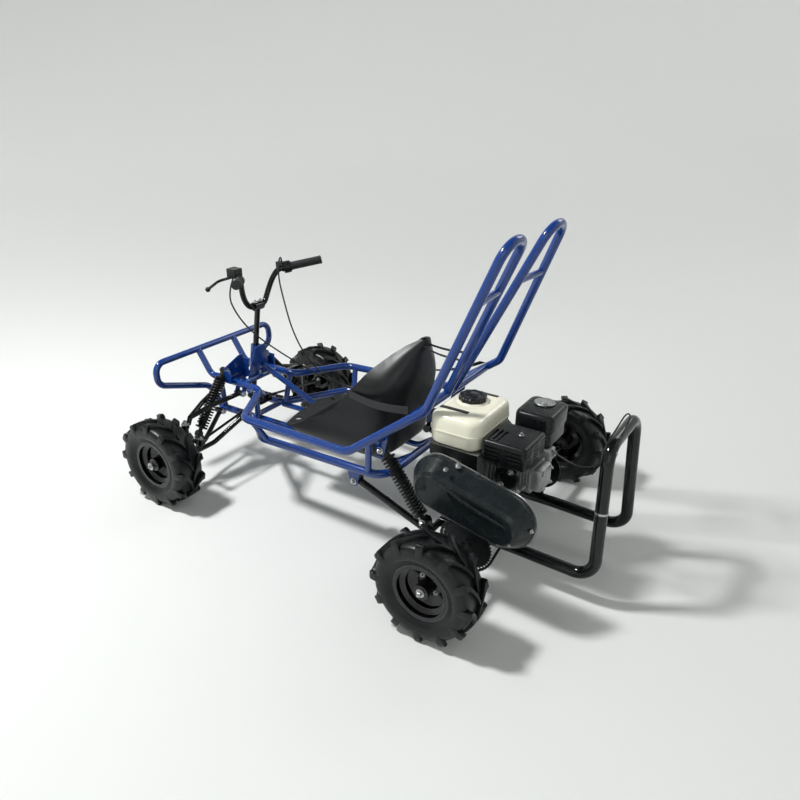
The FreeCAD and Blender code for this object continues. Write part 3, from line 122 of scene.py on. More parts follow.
@dataclass(frozen=True)
class Finish:
    """One real surface: its tones, gloss and fine relief.

    Attributes:
        name: the material's plain name.
        colour: its main tone.
        shade: the tone that its patches go towards.
        patch: the patches' size in millimetres.
        rough: the least and most roughness.
        grain: the fine relief's size in millimetres.
        relief: the fine relief's depth in millimetres.
        pattern: how the fine surface was made.
        metallic: 1 for bare metal.
        coat: the weight of a clear gloss layer.
        sheen: the weight of fine fibres' sheen.
        specular: the strength of its plain reflection, below 0.5 for dull blacks.
    """

    name: str
    colour: str
    shade: str
    patch: float
    rough: tuple[float, float]
    grain: float
    relief: float
    pattern: Pattern = Pattern.GRAIN
    metallic: float = 0.0
    coat: float = 0.0
    sheen: float = 0.0
    specular: float = 0.5

    def material(self) -> bpy.types.Material:
        """Builds the finish once, or returns the one that is there.

        Returns:
            The node material.
        """
        made = bpy.data.materials.get(self.name)
        if made is not None:
            return made
        made = bpy.data.materials.new(self.name)
        made.use_nodes = True
        tree = made.node_tree
        tree.nodes.clear()
        place = add_node(tree, "ShaderNodeTexCoord", {}, {}).outputs["Object"]
        cloud = {"Scale": 1 / (self.patch * MM), "Detail": 4.0}
        patches = add_node(tree, "ShaderNodeTexNoise", cloud, {"Vector": place}).outputs[0]
        main, worn = linear(self.colour), linear(self.shade)
        tone = add_node(tree, "ShaderNodeMix", {6: main, 7: worn}, {0: patches}, data_type="RGBA").outputs[2]
        least, most = self.rough
        spread = {"From Min": 0.3, "From Max": 0.7, "To Min": least, "To Max": most}
        gloss = add_node(tree, "ShaderNodeMapRange", spread, {"Value": patches}).outputs[0]
        depth = {"Strength": 0.6, "Distance": self.relief * MM}
        bump = add_node(tree, "ShaderNodeBump", depth, {"Height": self.fine(tree, place)}).outputs[0]
        values = {
            "Metallic": self.metallic, "Coat Weight": self.coat, "Coat Roughness": 0.08,
            "Sheen Weight": self.sheen, "Specular IOR Level": self.specular}
        links = {"Base Color": tone, "Roughness": gloss, "Normal": bump}
        shader = add_node(tree, "ShaderNodeBsdfPrincipled", values, links)
        add_node(tree, "ShaderNodeOutputMaterial", {}, {"Surface": shader.outputs[0]})
        return made

    def fine(self, tree: bpy.types.NodeTree, place: bpy.types.NodeSocket) -> bpy.types.NodeSocket:
        """Adds the nodes of the fine relief.

        Args:
            tree: the material's node tree.
            place: the object's coordinates.

        Returns:
            The relief's height.
        """
        scale = 1 / (self.grain * MM)
        if self.pattern is Pattern.BRUSHED:
            run = add_node(tree, "ShaderNodeMapping", {"Scale": (1.0, 0.04, 1.0)}, {"Vector": place}).outputs[0]
            lines = {"Scale": scale, "Detail": 2.0}
            return add_node(tree, "ShaderNodeTexNoise", lines, {"Vector": run}).outputs[0]
        if self.pattern is Pattern.WOVEN:
            wave = {"Scale": scale / 6.28, "Distortion": 0.4}
            warp, weft = (
                add_node(tree, "ShaderNodeTexWave", wave, {"Vector": place}, bands_direction=way).outputs[1]
                for way in ("Y", "Z"))
            return add_node(tree, "ShaderNodeMath", {}, {0: warp, 1: weft}, operation="MULTIPLY").outputs[0]
        cloud = {"Scale": scale, "Detail": 5.0}
        return add_node(tree, "ShaderNodeTexNoise", cloud, {"Vector": place}).outputs[0]


# Polyester powder baked on steel tube: even cobalt blue, high gloss with a faint orange peel.
COBALT_POWDER = Finish("cobalt_powder_coat", "#0E3A84", "#0C3376", 60, (0.10, 0.18), 6, 0.05, coat=0.3)
# Stoved black enamel on the arms, swing arm and guard: deep gloss, a little dust.
BLACK_ENAMEL = Finish("black_stoved_enamel", "#08090A", "#0E1011", 40, (0.07, 0.15), 5, 0.04, specular=0.42)
# Black paint on spring wire and knuckles: half gloss, over the rolled metal's grain.
SPRING_PAINT = Finish("black_spring_paint", "#08090A", "#121416", 14, (0.24, 0.40), 2, 0.10, specular=0.3)
# Black enamel on pressed steel rims: glossy, slightly wavy from the press.
RIM_ENAMEL = Finish("black_rim_enamel", "#030304", "#060607", 30, (0.10, 0.20), 8, 0.05, specular=0.5)
# Painted highlights on the rims: thin bright rings along the rolled edges, standing for the gloss highlights of
# the black enamel.
RIM_HIGHLIGHT_PAINT = Finish("painted_rim_highlight", "#5A5F63", "#3A3D40", 8, (0.14, 0.24), 2, 0.03, metallic=0.7)
# Off-road tyre compound: near black, dull, with pale bloom in patches.
TYRE_RUBBER = Finish("off_road_tyre_rubber", "#060708", "#0B0D0F", 22, (0.28, 0.44), 1.6, 0.12, specular=0.36)
# Bright zinc plate on bolts, axle and nuts: silvery with a soft haze.
ZINC_PLATE = Finish("bright_zinc_plate", "#C4C6C5", "#9EA1A3", 9, (0.20, 0.36), 1.5, 0.05, metallic=1.0)
# Oiled roller chain and sprocket: grey steel under a dark film.
CHAIN_STEEL = Finish("oiled_chain_steel", "#3A3C3E", "#1E1F21", 6, (0.26, 0.46), 1.2, 0.06, metallic=1.0)
# Sand-cast aluminium of the cylinder and crankcase: dull silver with a fine pitted skin.
CAST_ALUMINIUM = Finish("sand_cast_aluminium", "#B4B6B5", "#8B8E8E", 12, (0.38, 0.58), 1.4, 0.25, metallic=0.9)
# Pressed and brushed aluminium of the drive's back plate.
BRUSHED_ALUMINIUM = Finish(
    "brushed_aluminium", "#C9CBCB", "#A9ACAD", 20, (0.24, 0.38), 0.8, 0.06, Pattern.BRUSHED, metallic=1.0)
# Ivory enamel on the pressed steel tank: warm white and glossy.
IVORY_ENAMEL = Finish("ivory_tank_enamel", "#E9E7D4", "#E2E0CB", 50, (0.16, 0.26), 9, 0.08, coat=0.4)
# Injection-moulded polypropylene of the belt cover: charcoal, fine spark-eroded texture.
COVER_PLASTIC = Finish("moulded_polypropylene", "#151A1C", "#1B2123", 30, (0.20, 0.32), 1.0, 0.05, specular=0.3)
# Black ABS of the air cleaner, controls and cap: half gloss.
BLACK_ABS = Finish("black_abs", "#0C0E0F", "#14171A", 24, (0.24, 0.38), 1.2, 0.05, specular=0.32)
# Heat-proof black paint on the muffler's pressed shield: matt and dry.
HEAT_PAINT = Finish("heat_proof_black_paint", "#07090A", "#0D1011", 14, (0.26, 0.40), 1.4, 0.08, specular=0.3)
# Blow-moulded polyethylene seat: dark grey, waxy, with a leathery mould grain.
SEAT_POLYETHYLENE = Finish("seat_polyethylene", "#0A0D0F", "#101416", 45, (0.34, 0.48), 1.8, 0.10, specular=0.4)
# Vinyl rubber grips: matt black.
GRIP_RUBBER = Finish("grip_rubber", "#101113", "#1A1C1E", 10, (0.50, 0.66), 1.2, 0.12)
# Polyester webbing: black threads about 1.4 mm apart, drawn a little coarser so that they show.
POLYESTER_WEBBING = Finish(
    "polyester_webbing", "#0C0D0F", "#15171A", 8, (0.60, 0.75), 2.2, 0.35, Pattern.WOVEN, sheen=0.15,
    specular=0.25)
# Extruded vinyl sleeve of the control cables: smooth black.
CABLE_VINYL = Finish("cable_vinyl", "#0F1012", "#17191B", 12, (0.30, 0.42), 1.5, 0.04)
# The shade inside small punched holes: no light comes back.
HOLE_SHADE = Finish("punched_hole_shade", "#020202", "#030303", 5, (0.85, 0.95), 1, 0.01, specular=0.05)
# Blank printed film where the object carries labels: near black with a dull edge.
LABEL_FILM = Finish("blank_label_film", "#17181A", "#2A2B28", 9, (0.30, 0.45), 1.5, 0.02)

CARRIED: dict[Finish, tuple[str, ...]] = {
    COBALT_POWDER: (
        "frame_side_left", "frame_side_right", "roll_hoop_left", "roll_hoop_right", "frame_cross_bars",
        "steering_head", "shock_tower", "front_bumper", "rear_tabs_left", "rear_tabs_right"),
    BLACK_ENAMEL: (
        "front_arms_left", "front_arms_right", "swing_arm", "rear_guard", "steering_column", "handlebar",
        "knuckle_left", "knuckle_right", "tie_rod_left", "tie_rod_right"),
    RIM_ENAMEL: ("front_left_rim", "front_right_rim", "rear_left_rim", "rear_right_rim"),
    TYRE_RUBBER: ("front_left_tyre", "front_right_tyre", "rear_left_tyre", "rear_right_tyre"),
    SPRING_PAINT: ("front_shock_left", "front_shock_right", "rear_shock_left", "rear_shock_right"),
    ZINC_PLATE: ("rear_axle",),
    CHAIN_STEEL: ("axle_sprocket", "drive_chain", "brake_disc"),
    CAST_ALUMINIUM: ("engine_block", "cylinder_head", "brake_caliper"),
    BRUSHED_ALUMINIUM: ("drive_backplate",),
    IVORY_ENAMEL: ("fuel_tank",),
    COVER_PLASTIC: ("belt_cover",),
    BLACK_ABS: ("bar_controls", "air_cleaner", "recoil_starter"),
    HEAT_PAINT: ("muffler",),
    SEAT_POLYETHYLENE: ("seat",),
    GRIP_RUBBER: ("grips",),
    POLYESTER_WEBBING: ("seat_belts",),
    CABLE_VINYL: ("control_cables",),
}


def edit() -> None:
    """Opens the active object's mesh with all of it selected."""
    bpy.ops.object.mode_set(mode="EDIT")
    bpy.ops.mesh.select_all(action="SELECT")


def close_edit(tidy: bool = True) -> None:
    """Closes the mesh that is being edited.

    Args:
        tidy: whether doubles are merged and the faces turned outwards first.
    """
    if tidy:
        bpy.ops.mesh.select_all(action="SELECT")
        bpy.ops.mesh.remove_doubles(threshold=0.02 * MM)
        bpy.ops.mesh.normals_make_consistent(inside=False)
    bpy.ops.object.mode_set(mode="OBJECT")


def turned(name: str, rings: Rings, segments: int = 64) -> bpy.types.Object:
    """Turns a piece about the X axis, ring by ring.

    Args:
        name: the piece's name.
        rings: each ring's place along X and its radius, in millimetres.
        segments: the corners of a ring.

    Returns:
        The piece, centred on the origin.
    """
    along, radius = rings[0]
    bpy.ops.mesh.primitive_circle_add(
        vertices=segments, radius=radius * MM, location=(along * MM, 0, 0), rotation=(0, math.pi / 2, 0))
    piece = bpy.context.object
    piece.name = name
    bpy.ops.object.transform_apply(location=True, rotation=True, scale=True)
    edit()
    for (before, inner), (after, outer) in zip(rings, rings[1:]):
        bpy.ops.mesh.extrude_edges_move(TRANSFORM_OT_translate={"value": ((after - before) * MM, 0, 0)})
        ratio = outer / inner
        bpy.ops.transform.resize(value=(1, ratio, ratio), center_override=(after * MM, 0, 0))
    close_edit()
    return piece


def stood(name: str, rings: Rings, place: Point, way: Point, segments: int = 64) -> bpy.types.Object:
    """Turns a piece and stands it in its place.

    Args:
        name: the piece's name.
        rings: each ring's place along its axis and its radius, in millimetres.
        place: where the rings are counted from, in millimetres.
        way: where its axis points.
        segments: the corners of a ring.

    Returns:
        The piece.
    """
    piece = turned(name, rings, segments)
    piece.data.transform(facing(Vector(place), Vector(way)))
    return piece


def joined(name: str, pieces: list[bpy.types.Object]) -> bpy.types.Object:
    """Joins meshes into one piece.

    Args:
        name: the piece's name.
        pieces: the meshes, of which the first takes the rest.

    Returns:
        The joined piece.
    """
    bpy.ops.object.select_all(action="DESELECT")
    for piece in pieces:
        piece.select_set(True)
    bpy.context.view_layer.objects.active = pieces[0]
    if len(pieces) > 1:
        bpy.ops.object.join()
    pieces[0].name = name
    return pieces[0]


def twin(source: bpy.types.Object, name: str, move: Matrix) -> bpy.types.Object:
    """Copies a piece with its own mesh.

    Args:
        source: the piece to copy.
        name: the copy's name.
        move: where the copy's mesh goes from the source's place.

    Returns:
        The copy.
    """
    copy = source.copy()
    copy.data = source.data.copy()
    copy.data.transform(move)
    if move.determinant() < 0:
        copy.data.flip_normals()
    copy.name = name
    bpy.context.collection.objects.link(copy)
    return copy


def facing(origin: Vector, way: Vector) -> Matrix:
    """Finds the move that takes a piece made along X at the origin to its place.

    Args:
        origin: where its middle goes, in millimetres.
        way: where its X axis points.

    Returns:
        The move.
    """
    return Matrix.Translation(origin * MM) @ way.to_track_quat("X", "Z").to_matrix().to_4x4()


def softened(piece: bpy.types.Object, width: float, segments: int = 2) -> None:
    """Rounds a piece's sharp edges.

    Args:
        piece: the piece.
        width: the bevel's width in millimetres.
        segments: the faces across the bevel.
    """
    bpy.context.view_layer.objects.active = piece
    bevel = piece.modifiers.new("edges", "BEVEL")
    bevel.width = width * MM
    bevel.segments = segments
    bevel.limit_method = "ANGLE"
    bevel.angle_limit = math.radians(35)
    bpy.ops.object.modifier_apply(modifier=bevel.name)


def settle(
    piece: bpy.types.Object, finish: Finish, body: str, replaced: tuple[str, ...] = (),
    angle: float = 35.0,
) -> bpy.types.Object:
    """Finishes a piece and puts it on the body that carries it.

    Args:
        piece: the piece, in its place.
        finish: its surface.
        body: the CAD body that it rides on.
        replaced: the CAD nodes that it stands for.
        angle: the edge angle, in degrees, up to which its faces shade smooth.

    Returns:
        The piece.
    """
    bpy.ops.object.select_all(action="DESELECT")
    piece.select_set(True)
    bpy.context.view_layer.objects.active = piece
    bpy.ops.object.shade_smooth_by_angle(angle=math.radians(angle))
    if not piece.data.materials:
        piece.data.materials.append(finish.material())
    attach(piece, body)
    if replaced:
        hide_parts(*replaced)
    log.info("%s rides on %s", piece.name, body)
    return piece


def pick(piece: bpy.types.Object, way: Vector) -> None:
    """Opens a mesh with only its outermost face along a direction selected.

    Args:
        piece: the mesh.
        way: the direction.
    """
    for item in (piece.data.polygons, piece.data.edges, piece.data.vertices):
        for part in item:
            part.select = False
    # Of two faces that reach as far, the one that looks that way wins.
    tip = max(piece.data.polygons, key=lambda face: face.center.dot(way) + face.normal.dot(way) * 0.002)
    tip.select = True
    bpy.ops.object.mode_set(mode="EDIT")
    bpy.ops.mesh.select_mode(type="FACE")


def pressed(
    name: str, low: Point, high: Point, corner: float, upper: Rings,
    lower: Rings = (), segments: int = 8,
) -> bpy.types.Object:
    """Makes a pressed or moulded shell: a box with round upright corners, closed in steps above and below.

    Args:
        name: the piece's name.
        low: the box's low corner in millimetres.
        high: its high corner.
        corner: the radius of its upright corners.
        upper: each step's way inwards and upwards on the top, in millimetres.
        lower: the same underneath, inwards and downwards.
        segments: the faces round a corner.

    Returns:
        The shell.
    """
    bpy.ops.mesh.primitive_cube_add(size=1, location=(Vector(low) + Vector(high)) / 2 * MM)
    piece = bpy.context.object
    piece.name = name
    piece.scale = (Vector(high) - Vector(low)) * MM
    bpy.ops.object.transform_apply(location=True, rotation=True, scale=True)
    mesh = piece.data
    bpy.ops.object.mode_set(mode="EDIT")
    bpy.ops.mesh.select_mode(type="EDGE")
    bpy.ops.mesh.select_all(action="DESELECT")
    bpy.ops.object.mode_set(mode="OBJECT")
    for edge in mesh.edges:
        first, last = (mesh.vertices[number].co for number in edge.vertices)
        edge.select = abs(first.z - last.z) > abs(first.x - last.x) + abs(first.y - last.y)
    bpy.ops.object.mode_set(mode="EDIT")
    bpy.ops.mesh.bevel(offset=corner * MM, segments=segments, affect="EDGES")
    bpy.ops.object.mode_set(mode="OBJECT")
    for way, steps in ((1, upper), (-1, lower)):
        pick(piece, Vector((0, 0, way)))
        for inwards, outwards in steps:
            bpy.ops.mesh.inset(thickness=max(inwards, 0.01) * MM, depth=outwards * MM)
        bpy.ops.object.mode_set(mode="OBJECT")
    return piece


def dressed(piece: bpy.types.Object, finish: Finish) -> bpy.types.Object:
    """Gives a whole piece one finish.

    Args:
        piece: the piece.
        finish: its surface.

    Returns:
        The piece.
    """
    piece.data.materials.clear()
    piece.data.materials.append(finish.material())
    return piece


def cut_out(piece: bpy.types.Object, cutters: list[bpy.types.Object]) -> None:
    """Cuts slots or holes into a piece.

    Args:
        piece: the piece.
        cutters: the closed meshes of what is taken out, which are removed.
    """
    tool = joined("cutter", cutters)
    bpy.context.view_layer.objects.active = piece
    cut = piece.modifiers.new("slots", "BOOLEAN")
    cut.operation = "DIFFERENCE"
    cut.object = tool
    bpy.ops.object.modifier_apply(modifier=cut.name)
    bpy.data.objects.remove(tool)


def wire(name: str, points: tuple[Point, ...], diameter: float) -> tuple[bpy.types.Object, list[Vector]]:
    """Draws a smooth round wire or sleeve through the pull of some points.

    Args:
        name: the piece's name.
        points: the points in millimetres; it starts at the first and ends at the last.
        diameter: its thickness in millimetres.

    Returns:
        The wire, and its middle line in metres.
    """
    line = bpy.data.curves.new(name, "CURVE")
    line.dimensions = "3D"
    line.resolution_u = 12
    spline = line.splines.new("NURBS")
    spline.points.add(len(points) - 1)
    for point, place in zip(spline.points, points):
        point.co = (*[value * MM for value in place], 1.0)
    spline.order_u = 3
    spline.use_endpoint_u = True
    drawn = bpy.data.objects.new(name + "_line", line)
    bpy.context.collection.objects.link(drawn)
    path = [vertex.co.copy() for vertex in bpy.data.meshes.new_from_object(drawn).vertices]
    line.bevel_depth = diameter / 2 * MM
    line.bevel_resolution = 4
    line.use_fill_caps = True
    bpy.context.view_layer.update()
    piece = bpy.data.objects.new(name, bpy.data.meshes.new_from_object(drawn))
    bpy.context.collection.objects.link(piece)
    bpy.data.objects.remove(drawn)
    piece.data.materials.clear()
    return piece, path


def sheet(name: str, corners: list[Point], faces: list[tuple[int, ...]]) -> bpy.types.Object:
    """Lays a thin sheet of soft goods or moulding.

    Args:
        name: the piece's name.
        corners: its corners in metres.
        faces: each face's corners, by number.

    Returns:
        The sheet, as the active object.
    """
    mesh = bpy.data.meshes.new(name)
    mesh.from_pydata(corners, [], faces)
    piece = bpy.data.objects.new(name, mesh)
    bpy.context.collection.objects.link(piece)
    bpy.context.view_layer.objects.active = piece
    return piece


def thicken(piece: bpy.types.Object, thickness: float, offset: float, even: bool = False) -> None:
    """Gives the active sheet its thickness.

    Args:
        piece: the sheet.
        thickness: its thickness in millimetres.
        offset: -1 to grow it inwards, or 0 to both sides.
        even: whether it keeps its thickness round bends.
    """
    wall = piece.modifiers.new("wall", "SOLIDIFY")
    wall.thickness = thickness * MM
    wall.offset = offset
    wall.use_even_offset = even
    bpy.ops.object.modifier_apply(modifier=wall.name)


@dataclass
class Studio:
    """The pale floor, the soft lights and the camera of the photograph.

    Attributes:
        camera_at: where the camera stands, in metres.
        looks: the way it looks.
        lens: its focal length in millimetres.
        roll: its turn about that way, in degrees.
        lamps: each lamp's name, place and side in metres, and power in watts.
        lit: the point that the lamps look at, in metres.
        air: the tone and strength of the even light all round.
        tones: the floor's tone under the buggy and at the backdrop, where the paler tone is painted light.
        fade: how far from the buggy its tone starts and ends to change, in metres.
        sweep: the floor's height and reach up the backdrop, in metres.
    """

    camera_at: Point = (1.9054, 1.2846, 1.4561)
    looks: Point = (-0.76468, -0.49340, -0.41451)
    lens: float = 31.754
    roll: float = 0.5
    lamps: tuple[tuple[str, Point, float, float], ...] = (
        ("key", (1.4, -1.8, 4.0), 0.5, 195), ("fill", (3.4, 2.4, 2.4), 2.0, 14),
        ("rim", (-3.2, 1.2, 3.0), 1.4, 18))
    lit: Point = (0, 0, 0.35)
    air: tuple[str, float] = ("#E9EAE9", 0.16)
    tones: tuple[str, str] = ("#DCDEDC", "#FAFBFA")
    fade: tuple[float, float] = (1.0, 5.5)
    sweep: Rings = (
        (0, 0.01), (0, 2.6), (0.03, 3.2), (0.11, 3.8), (0.27, 4.4), (0.54, 5.0), (0.95, 5.5), (1.55, 5.9),
        (2.4, 6.2), (3.6, 6.3), (5.2, 6.0), (6.8, 4.8))

    def build(self) -> None:
        """Makes the camera, the floor, the lamps and the world."""
        self.camera()
        self.floor()
        for name, place, side, power in self.lamps:
            self.lamp(name, place, side, power)
        tone, strength = self.air
        world = bpy.data.worlds.new("studio_air")
        world.use_nodes = True
        world.node_tree.nodes["Background"].inputs["Color"].default_value = linear(tone)
        world.node_tree.nodes["Background"].inputs["Strength"].default_value = strength
        bpy.context.scene.world = world

    def camera(self) -> None:
        """Sets the camera where the photograph was taken from."""
        sight = bpy.data.cameras.new("camera")
        sight.lens = self.lens
        camera = bpy.data.objects.new("camera", sight)
        camera.location = self.camera_at
        level = Vector(self.looks).to_track_quat("-Z", "Y").to_matrix()
        camera.rotation_euler = (level @ Matrix.Rotation(math.radians(self.roll), 3, "Z")).to_euler()
        bpy.context.collection.objects.link(camera)
        bpy.context.scene.camera = camera
        bpy.context.scene.view_settings.view_transform = "Standard"

    def floor(self) -> None:
        """Lays a plain pale floor that curves up into a backdrop."""
        ground = turned("studio_floor", tuple((rise * 1000, reach * 1000) for rise, reach in self.sweep), 96)
        ground.data.transform(Matrix.Rotation(-math.pi / 2, 4, "Y"))
        ground.data.materials.append(self.paint())
        bpy.ops.object.shade_smooth()

    def paint(self) -> bpy.types.Material:
        """Mixes the floor's matt paint, a little paler towards the backdrop: painted light that makes up for
        the lamps' fall-off there, so that the whole stays even.

        Returns:
            The floor's material.
        """
        made = bpy.data.materials.new("matt_studio_paint")
        made.use_nodes = True
        tree = made.node_tree
        tree.nodes.clear()
        # The backdrop's paler tone is painted light against the lamps' fall-off.
        near, far = (linear(tone) for tone in self.tones)
        start, end = self.fade
        place = add_node(tree, "ShaderNodeTexCoord", {}, {}).outputs["Object"]
        away = add_node(tree, "ShaderNodeVectorMath", {}, {0: place}, operation="LENGTH").outputs["Value"]
        spread = {"From Min": start, "From Max": end}
        share = add_node(tree, "ShaderNodeMapRange", spread, {"Value": away}).outputs[0]
        tone = add_node(tree, "ShaderNodeMix", {6: near, 7: far}, {0: share}, data_type="RGBA").outputs[2]
        matt = {"Roughness": 0.9, "Specular IOR Level": 0.1}
        shader = add_node(tree, "ShaderNodeBsdfPrincipled", matt, {"Base Color": tone})
        add_node(tree, "ShaderNodeOutputMaterial", {}, {"Surface": shader.outputs[0]})
        return made

    def lamp(self, name: str, place: Point, side: float, power: float) -> None:
        """Hangs one soft square lamp that looks at the buggy.

        Args:
            name: the lamp's name.
            place: where it hangs, in metres.
            side: its side in metres.
            power: its power in watts.
        """
        light = bpy.data.lights.new(name, "AREA")
        light.size = side
        light.energy = power
        held = bpy.data.objects.new(name, light)
        held.location = place
        held.rotation_euler = (Vector(self.lit) - Vector(place)).to_track_quat("-Z", "Y").to_euler()
        bpy.context.collection.objects.link(held)


@dataclass
class Tyres:
    """Four off-road tyres: a bellied carcass with two staggered rows of curved chevron lugs.

    Attributes:
        radius: the tyre's radius over the lugs, in millimetres.
        lugs: the lugs in each of the two rows.
        lug_depth: how far a lug stands out of the carcass.
        lug_width: its width round the tyre at the shoulder.
        lug_start: its first block's middle along X, and its length there.
        carcass: the outline of the outer half, from the bead to the crown, along X and outwards.
        shoulder: the steps of a lug's outer end: along X, turn in degrees, and towards the hub.
        path: the steps of its inner end: along X, and turn in degrees.
        taper: how much narrower a lug gets at each turned step.
    """

    radius: float = 165.0
    lugs: int = 12
    lug_depth: float = 13.0
    lug_width: float = 23.0
    carcass: Rings = (
        (36, 81.5), (42.5, 82.5), (43, 89.5), (47, 90), (49, 93), (48.5, 95), (50.5, 97), (50, 98.5),
        (52, 101), (51.5, 102.5), (53.4, 105), (53, 106.5), (55.5, 110), (57.3, 120), (57.6, 129),
        (56, 138), (52, 146), (44, 150.5), (30, 152), (14, 153), (0, 153.5))
    lug_start: tuple[float, float] = (47, 10)
    shoulder: tuple[tuple[float, float, float], ...] = ((4.0, 0.0, -7.0), (1.5, 0.0, -14.0))
    path: Rings = ((-10, 3.0), (-12, 6.5), (-12, 8.0), (-10, 8.5))
    taper: float = 0.94

    def build(self) -> None:
        """Makes one tyre and puts a copy of it on each rim."""
        half = self.carcass
        rings = half + tuple((-along, radius) for along, radius in reversed(half[:-1])) + half[:1]
        model = joined("tyre_model", [turned("carcass", rings, 96), self.lug_rows()])
        for corner, body, place in WHEELS:
            tyre = twin(model, corner + "_treaded_tyre", Matrix.Translation(Vector(place) * MM))
            settle(tyre, TYRE_RUBBER, body, (corner + "_tyre",), 40)
        bpy.data.objects.remove(model)

    def lug_rows(self) -> bpy.types.Object:
        """Makes the lugs: one is shaped, and copied round both sides.

        Returns:
            All the lugs, about the origin.
        """
        middle = self.radius - self.lug_depth
        place, length = self.lug_start
        bpy.ops.mesh.primitive_cube_add(size=1, location=(place * MM, 0, (middle + 2) * MM))
        lug = bpy.context.object
        lug.name = "lugs"
        lug.scale = (length * MM, self.lug_width * MM, 2 * (self.lug_depth - 2) * MM)
        bpy.ops.object.transform_apply(location=True, rotation=True, scale=True)
        self.draw(lug, 1, self.shoulder)
        self.draw(lug, -1, tuple((step, turn, 0.0) for step, turn in self.path))
        softened(lug, 1.1, 2)
        edit()
        for _ in range(1, self.lugs):
            bpy.ops.mesh.duplicate()
            bpy.ops.transform.rotate(value=math.tau / self.lugs, orient_axis="X", center_override=(0, 0, 0))
        close_edit()
        mirror = Matrix.Rotation(math.pi / self.lugs, 4, "X") @ Matrix.Diagonal((-1, 1, 1, 1))
        return joined("lugs", [lug, twin(lug, "lugs_far", mirror)])

    def draw(self, lug: bpy.types.Object, end: int, steps: tuple[tuple[float, float, float], ...]) -> None:
        """Draws one end of a lug out, step by step, by extruding its end face.

        Args:
            lug: the lug's mesh.
            end: 1 for the end on the shoulder, or -1 for the one near the middle.
            steps: each step's way along X and towards the hub in millimetres, and its turn in degrees.
        """
        way = Vector((end, 0, 0))
        for along, turn, down in steps:
            bpy.ops.object.mode_set(mode="OBJECT")
            pick(lug, way)
            bpy.ops.mesh.extrude_region_move(TRANSFORM_OT_translate={"value": (along * MM, 0, down * MM)})
            if turn:
                bpy.ops.transform.rotate(value=math.radians(turn), orient_axis="X", center_override=(0, 0, 0))
                bpy.ops.transform.resize(value=(1, self.taper, 1))
        bpy.ops.object.mode_set(mode="OBJECT")


@dataclass
class CoilShock:
    """A damper in a coil spring between two eyes.

    Attributes:
        name: the piece's name.
        node: the CAD node that it stands for.
        low: the low eye's middle in millimetres.
        top: the top eye's middle.
        across: the way of the bolts through both eyes.
        spring_od: the spring's diameter over its wire.
        wire: the wire's thickness.
        coils: the spring's turns.
        seats: the spring's distance from the low eye and from the top one.
        eye: the rings of an eye's bush.
    """

    name: str
    node: str
    low: Point
    top: Point
    across: Point
    spring_od: float
    wire: float = 7.6
    coils: int = 17
    seats: tuple[float, float] = (30, 38)
    eye: Rings = ((-12, 7), (-12, 11), (-10, 13), (10, 13), (12, 11), (12, 7), (12, 0.01))

    def build(self) -> None:
        """Winds the spring and turns the damper on one axis."""
        low, top = Vector(self.low), Vector(self.top)
        length = (top - low).length
        start, end = self.seats
        piece = joined(self.name, [self.spring(start, length - end), self.damper(length)])
        piece.data.transform(facing(low, top - low))
        eyes = [stood("eye", self.eye, place, self.across, 32) for place in (self.low, self.top)]
        piece = joined(self.name, [piece] + eyes)
        settle(piece, SPRING_PAINT, "chassis", (self.node,))

    def spring(self, start: float, end: float) -> bpy.types.Object:
        """Winds the spring along X with a screw of its wire.

        Args:
            start: where it sits on the low collar, in millimetres.
            end: where it meets the top collar.

        Returns:
            The spring.
        """
        bpy.ops.mesh.primitive_circle_add(
            vertices=10, radius=self.wire / 2 * MM, location=((start + self.wire / 2) * MM, 0, 0),
            rotation=(math.pi / 2, 0, 0))
        coil = bpy.context.object
        bpy.ops.object.transform_apply(location=True, rotation=True, scale=True)
        coil.data.transform(Matrix.Translation((0, 0, (self.spring_od - self.wire) / 2 * MM)))
        screw = coil.modifiers.new("turns", "SCREW")
        screw.axis = "X"
        screw.screw_offset = (end - start - self.wire) / self.coils * MM
        screw.iterations = self.coils
        screw.steps = screw.render_steps = 28
        bpy.ops.object.modifier_apply(modifier=screw.name)
        edit()
        close_edit()
        return coil

    def damper(self, length: float) -> bpy.types.Object:
        """Turns the damper's rod, body and collars.

        Args:
            length: the distance between its eyes in millimetres.

        Returns:
            The damper along X.
        """
        collar = self.spring_od / 2
        rings = (
            (6, 0.01), (6, 8), (22, 8), (23, collar - 4), (25, collar), (30, collar), (30.5, 12),
            (length - 37.5, 12), (length - 37, collar), (length - 33, collar), (length - 31, collar - 3),
            (length - 30, 13), (length - 10, 12), (length - 10, 0.01))
        return turned("damper", rings, 40)


def painted(node: bpy.types.Object, finish: Finish, low: Point, high: Point) -> None:
    """Gives part of a CAD node another finish: the faces whose middles lie in a box.

    Args:
        node: the CAD node.
        finish: the surface there.
        low: the box's low corner in millimetres.
        high: its high corner.
    """
    mesh = node.data
    mesh.materials.append(finish.material())
    index = len(mesh.materials) - 1
    for face in mesh.polygons:
        middle = node.matrix_world @ face.center * 1000
        if all(least <= value <= most for least, value, most in zip(low, middle, high)):
            face.material_index = index


def boxed(name: str, low: Point, high: Point, edge: float = 1.0) -> bpy.types.Object:
    """Makes a box with rounded edges between two corners in millimetres.

    Args:
        name: the piece's name.
        low: its low corner.
        high: its high corner.
        edge: the width of its rounded edges.

    Returns:
        The box.
    """
    middle = (Vector(low) + Vector(high)) / 2 * MM
    bpy.ops.mesh.primitive_cube_add(size=1, location=middle)
    piece = bpy.context.object
    piece.name = name
    piece.scale = (Vector(high) - Vector(low)) * MM
    bpy.ops.object.transform_apply(location=True, rotation=True, scale=True)
    softened(piece, edge)
    return piece


def both(spots: Spots) -> Spots:
    """Adds each spot's mirror image on the other side of the buggy.

    Args:
        spots: each one's foot, way and size.

    Returns:
        The spots and their images.
    """
    far = tuple(((-at[0], at[1], at[2]), (-way[0], way[1], way[2]), across) for at, way, across in spots)
    return spots + far


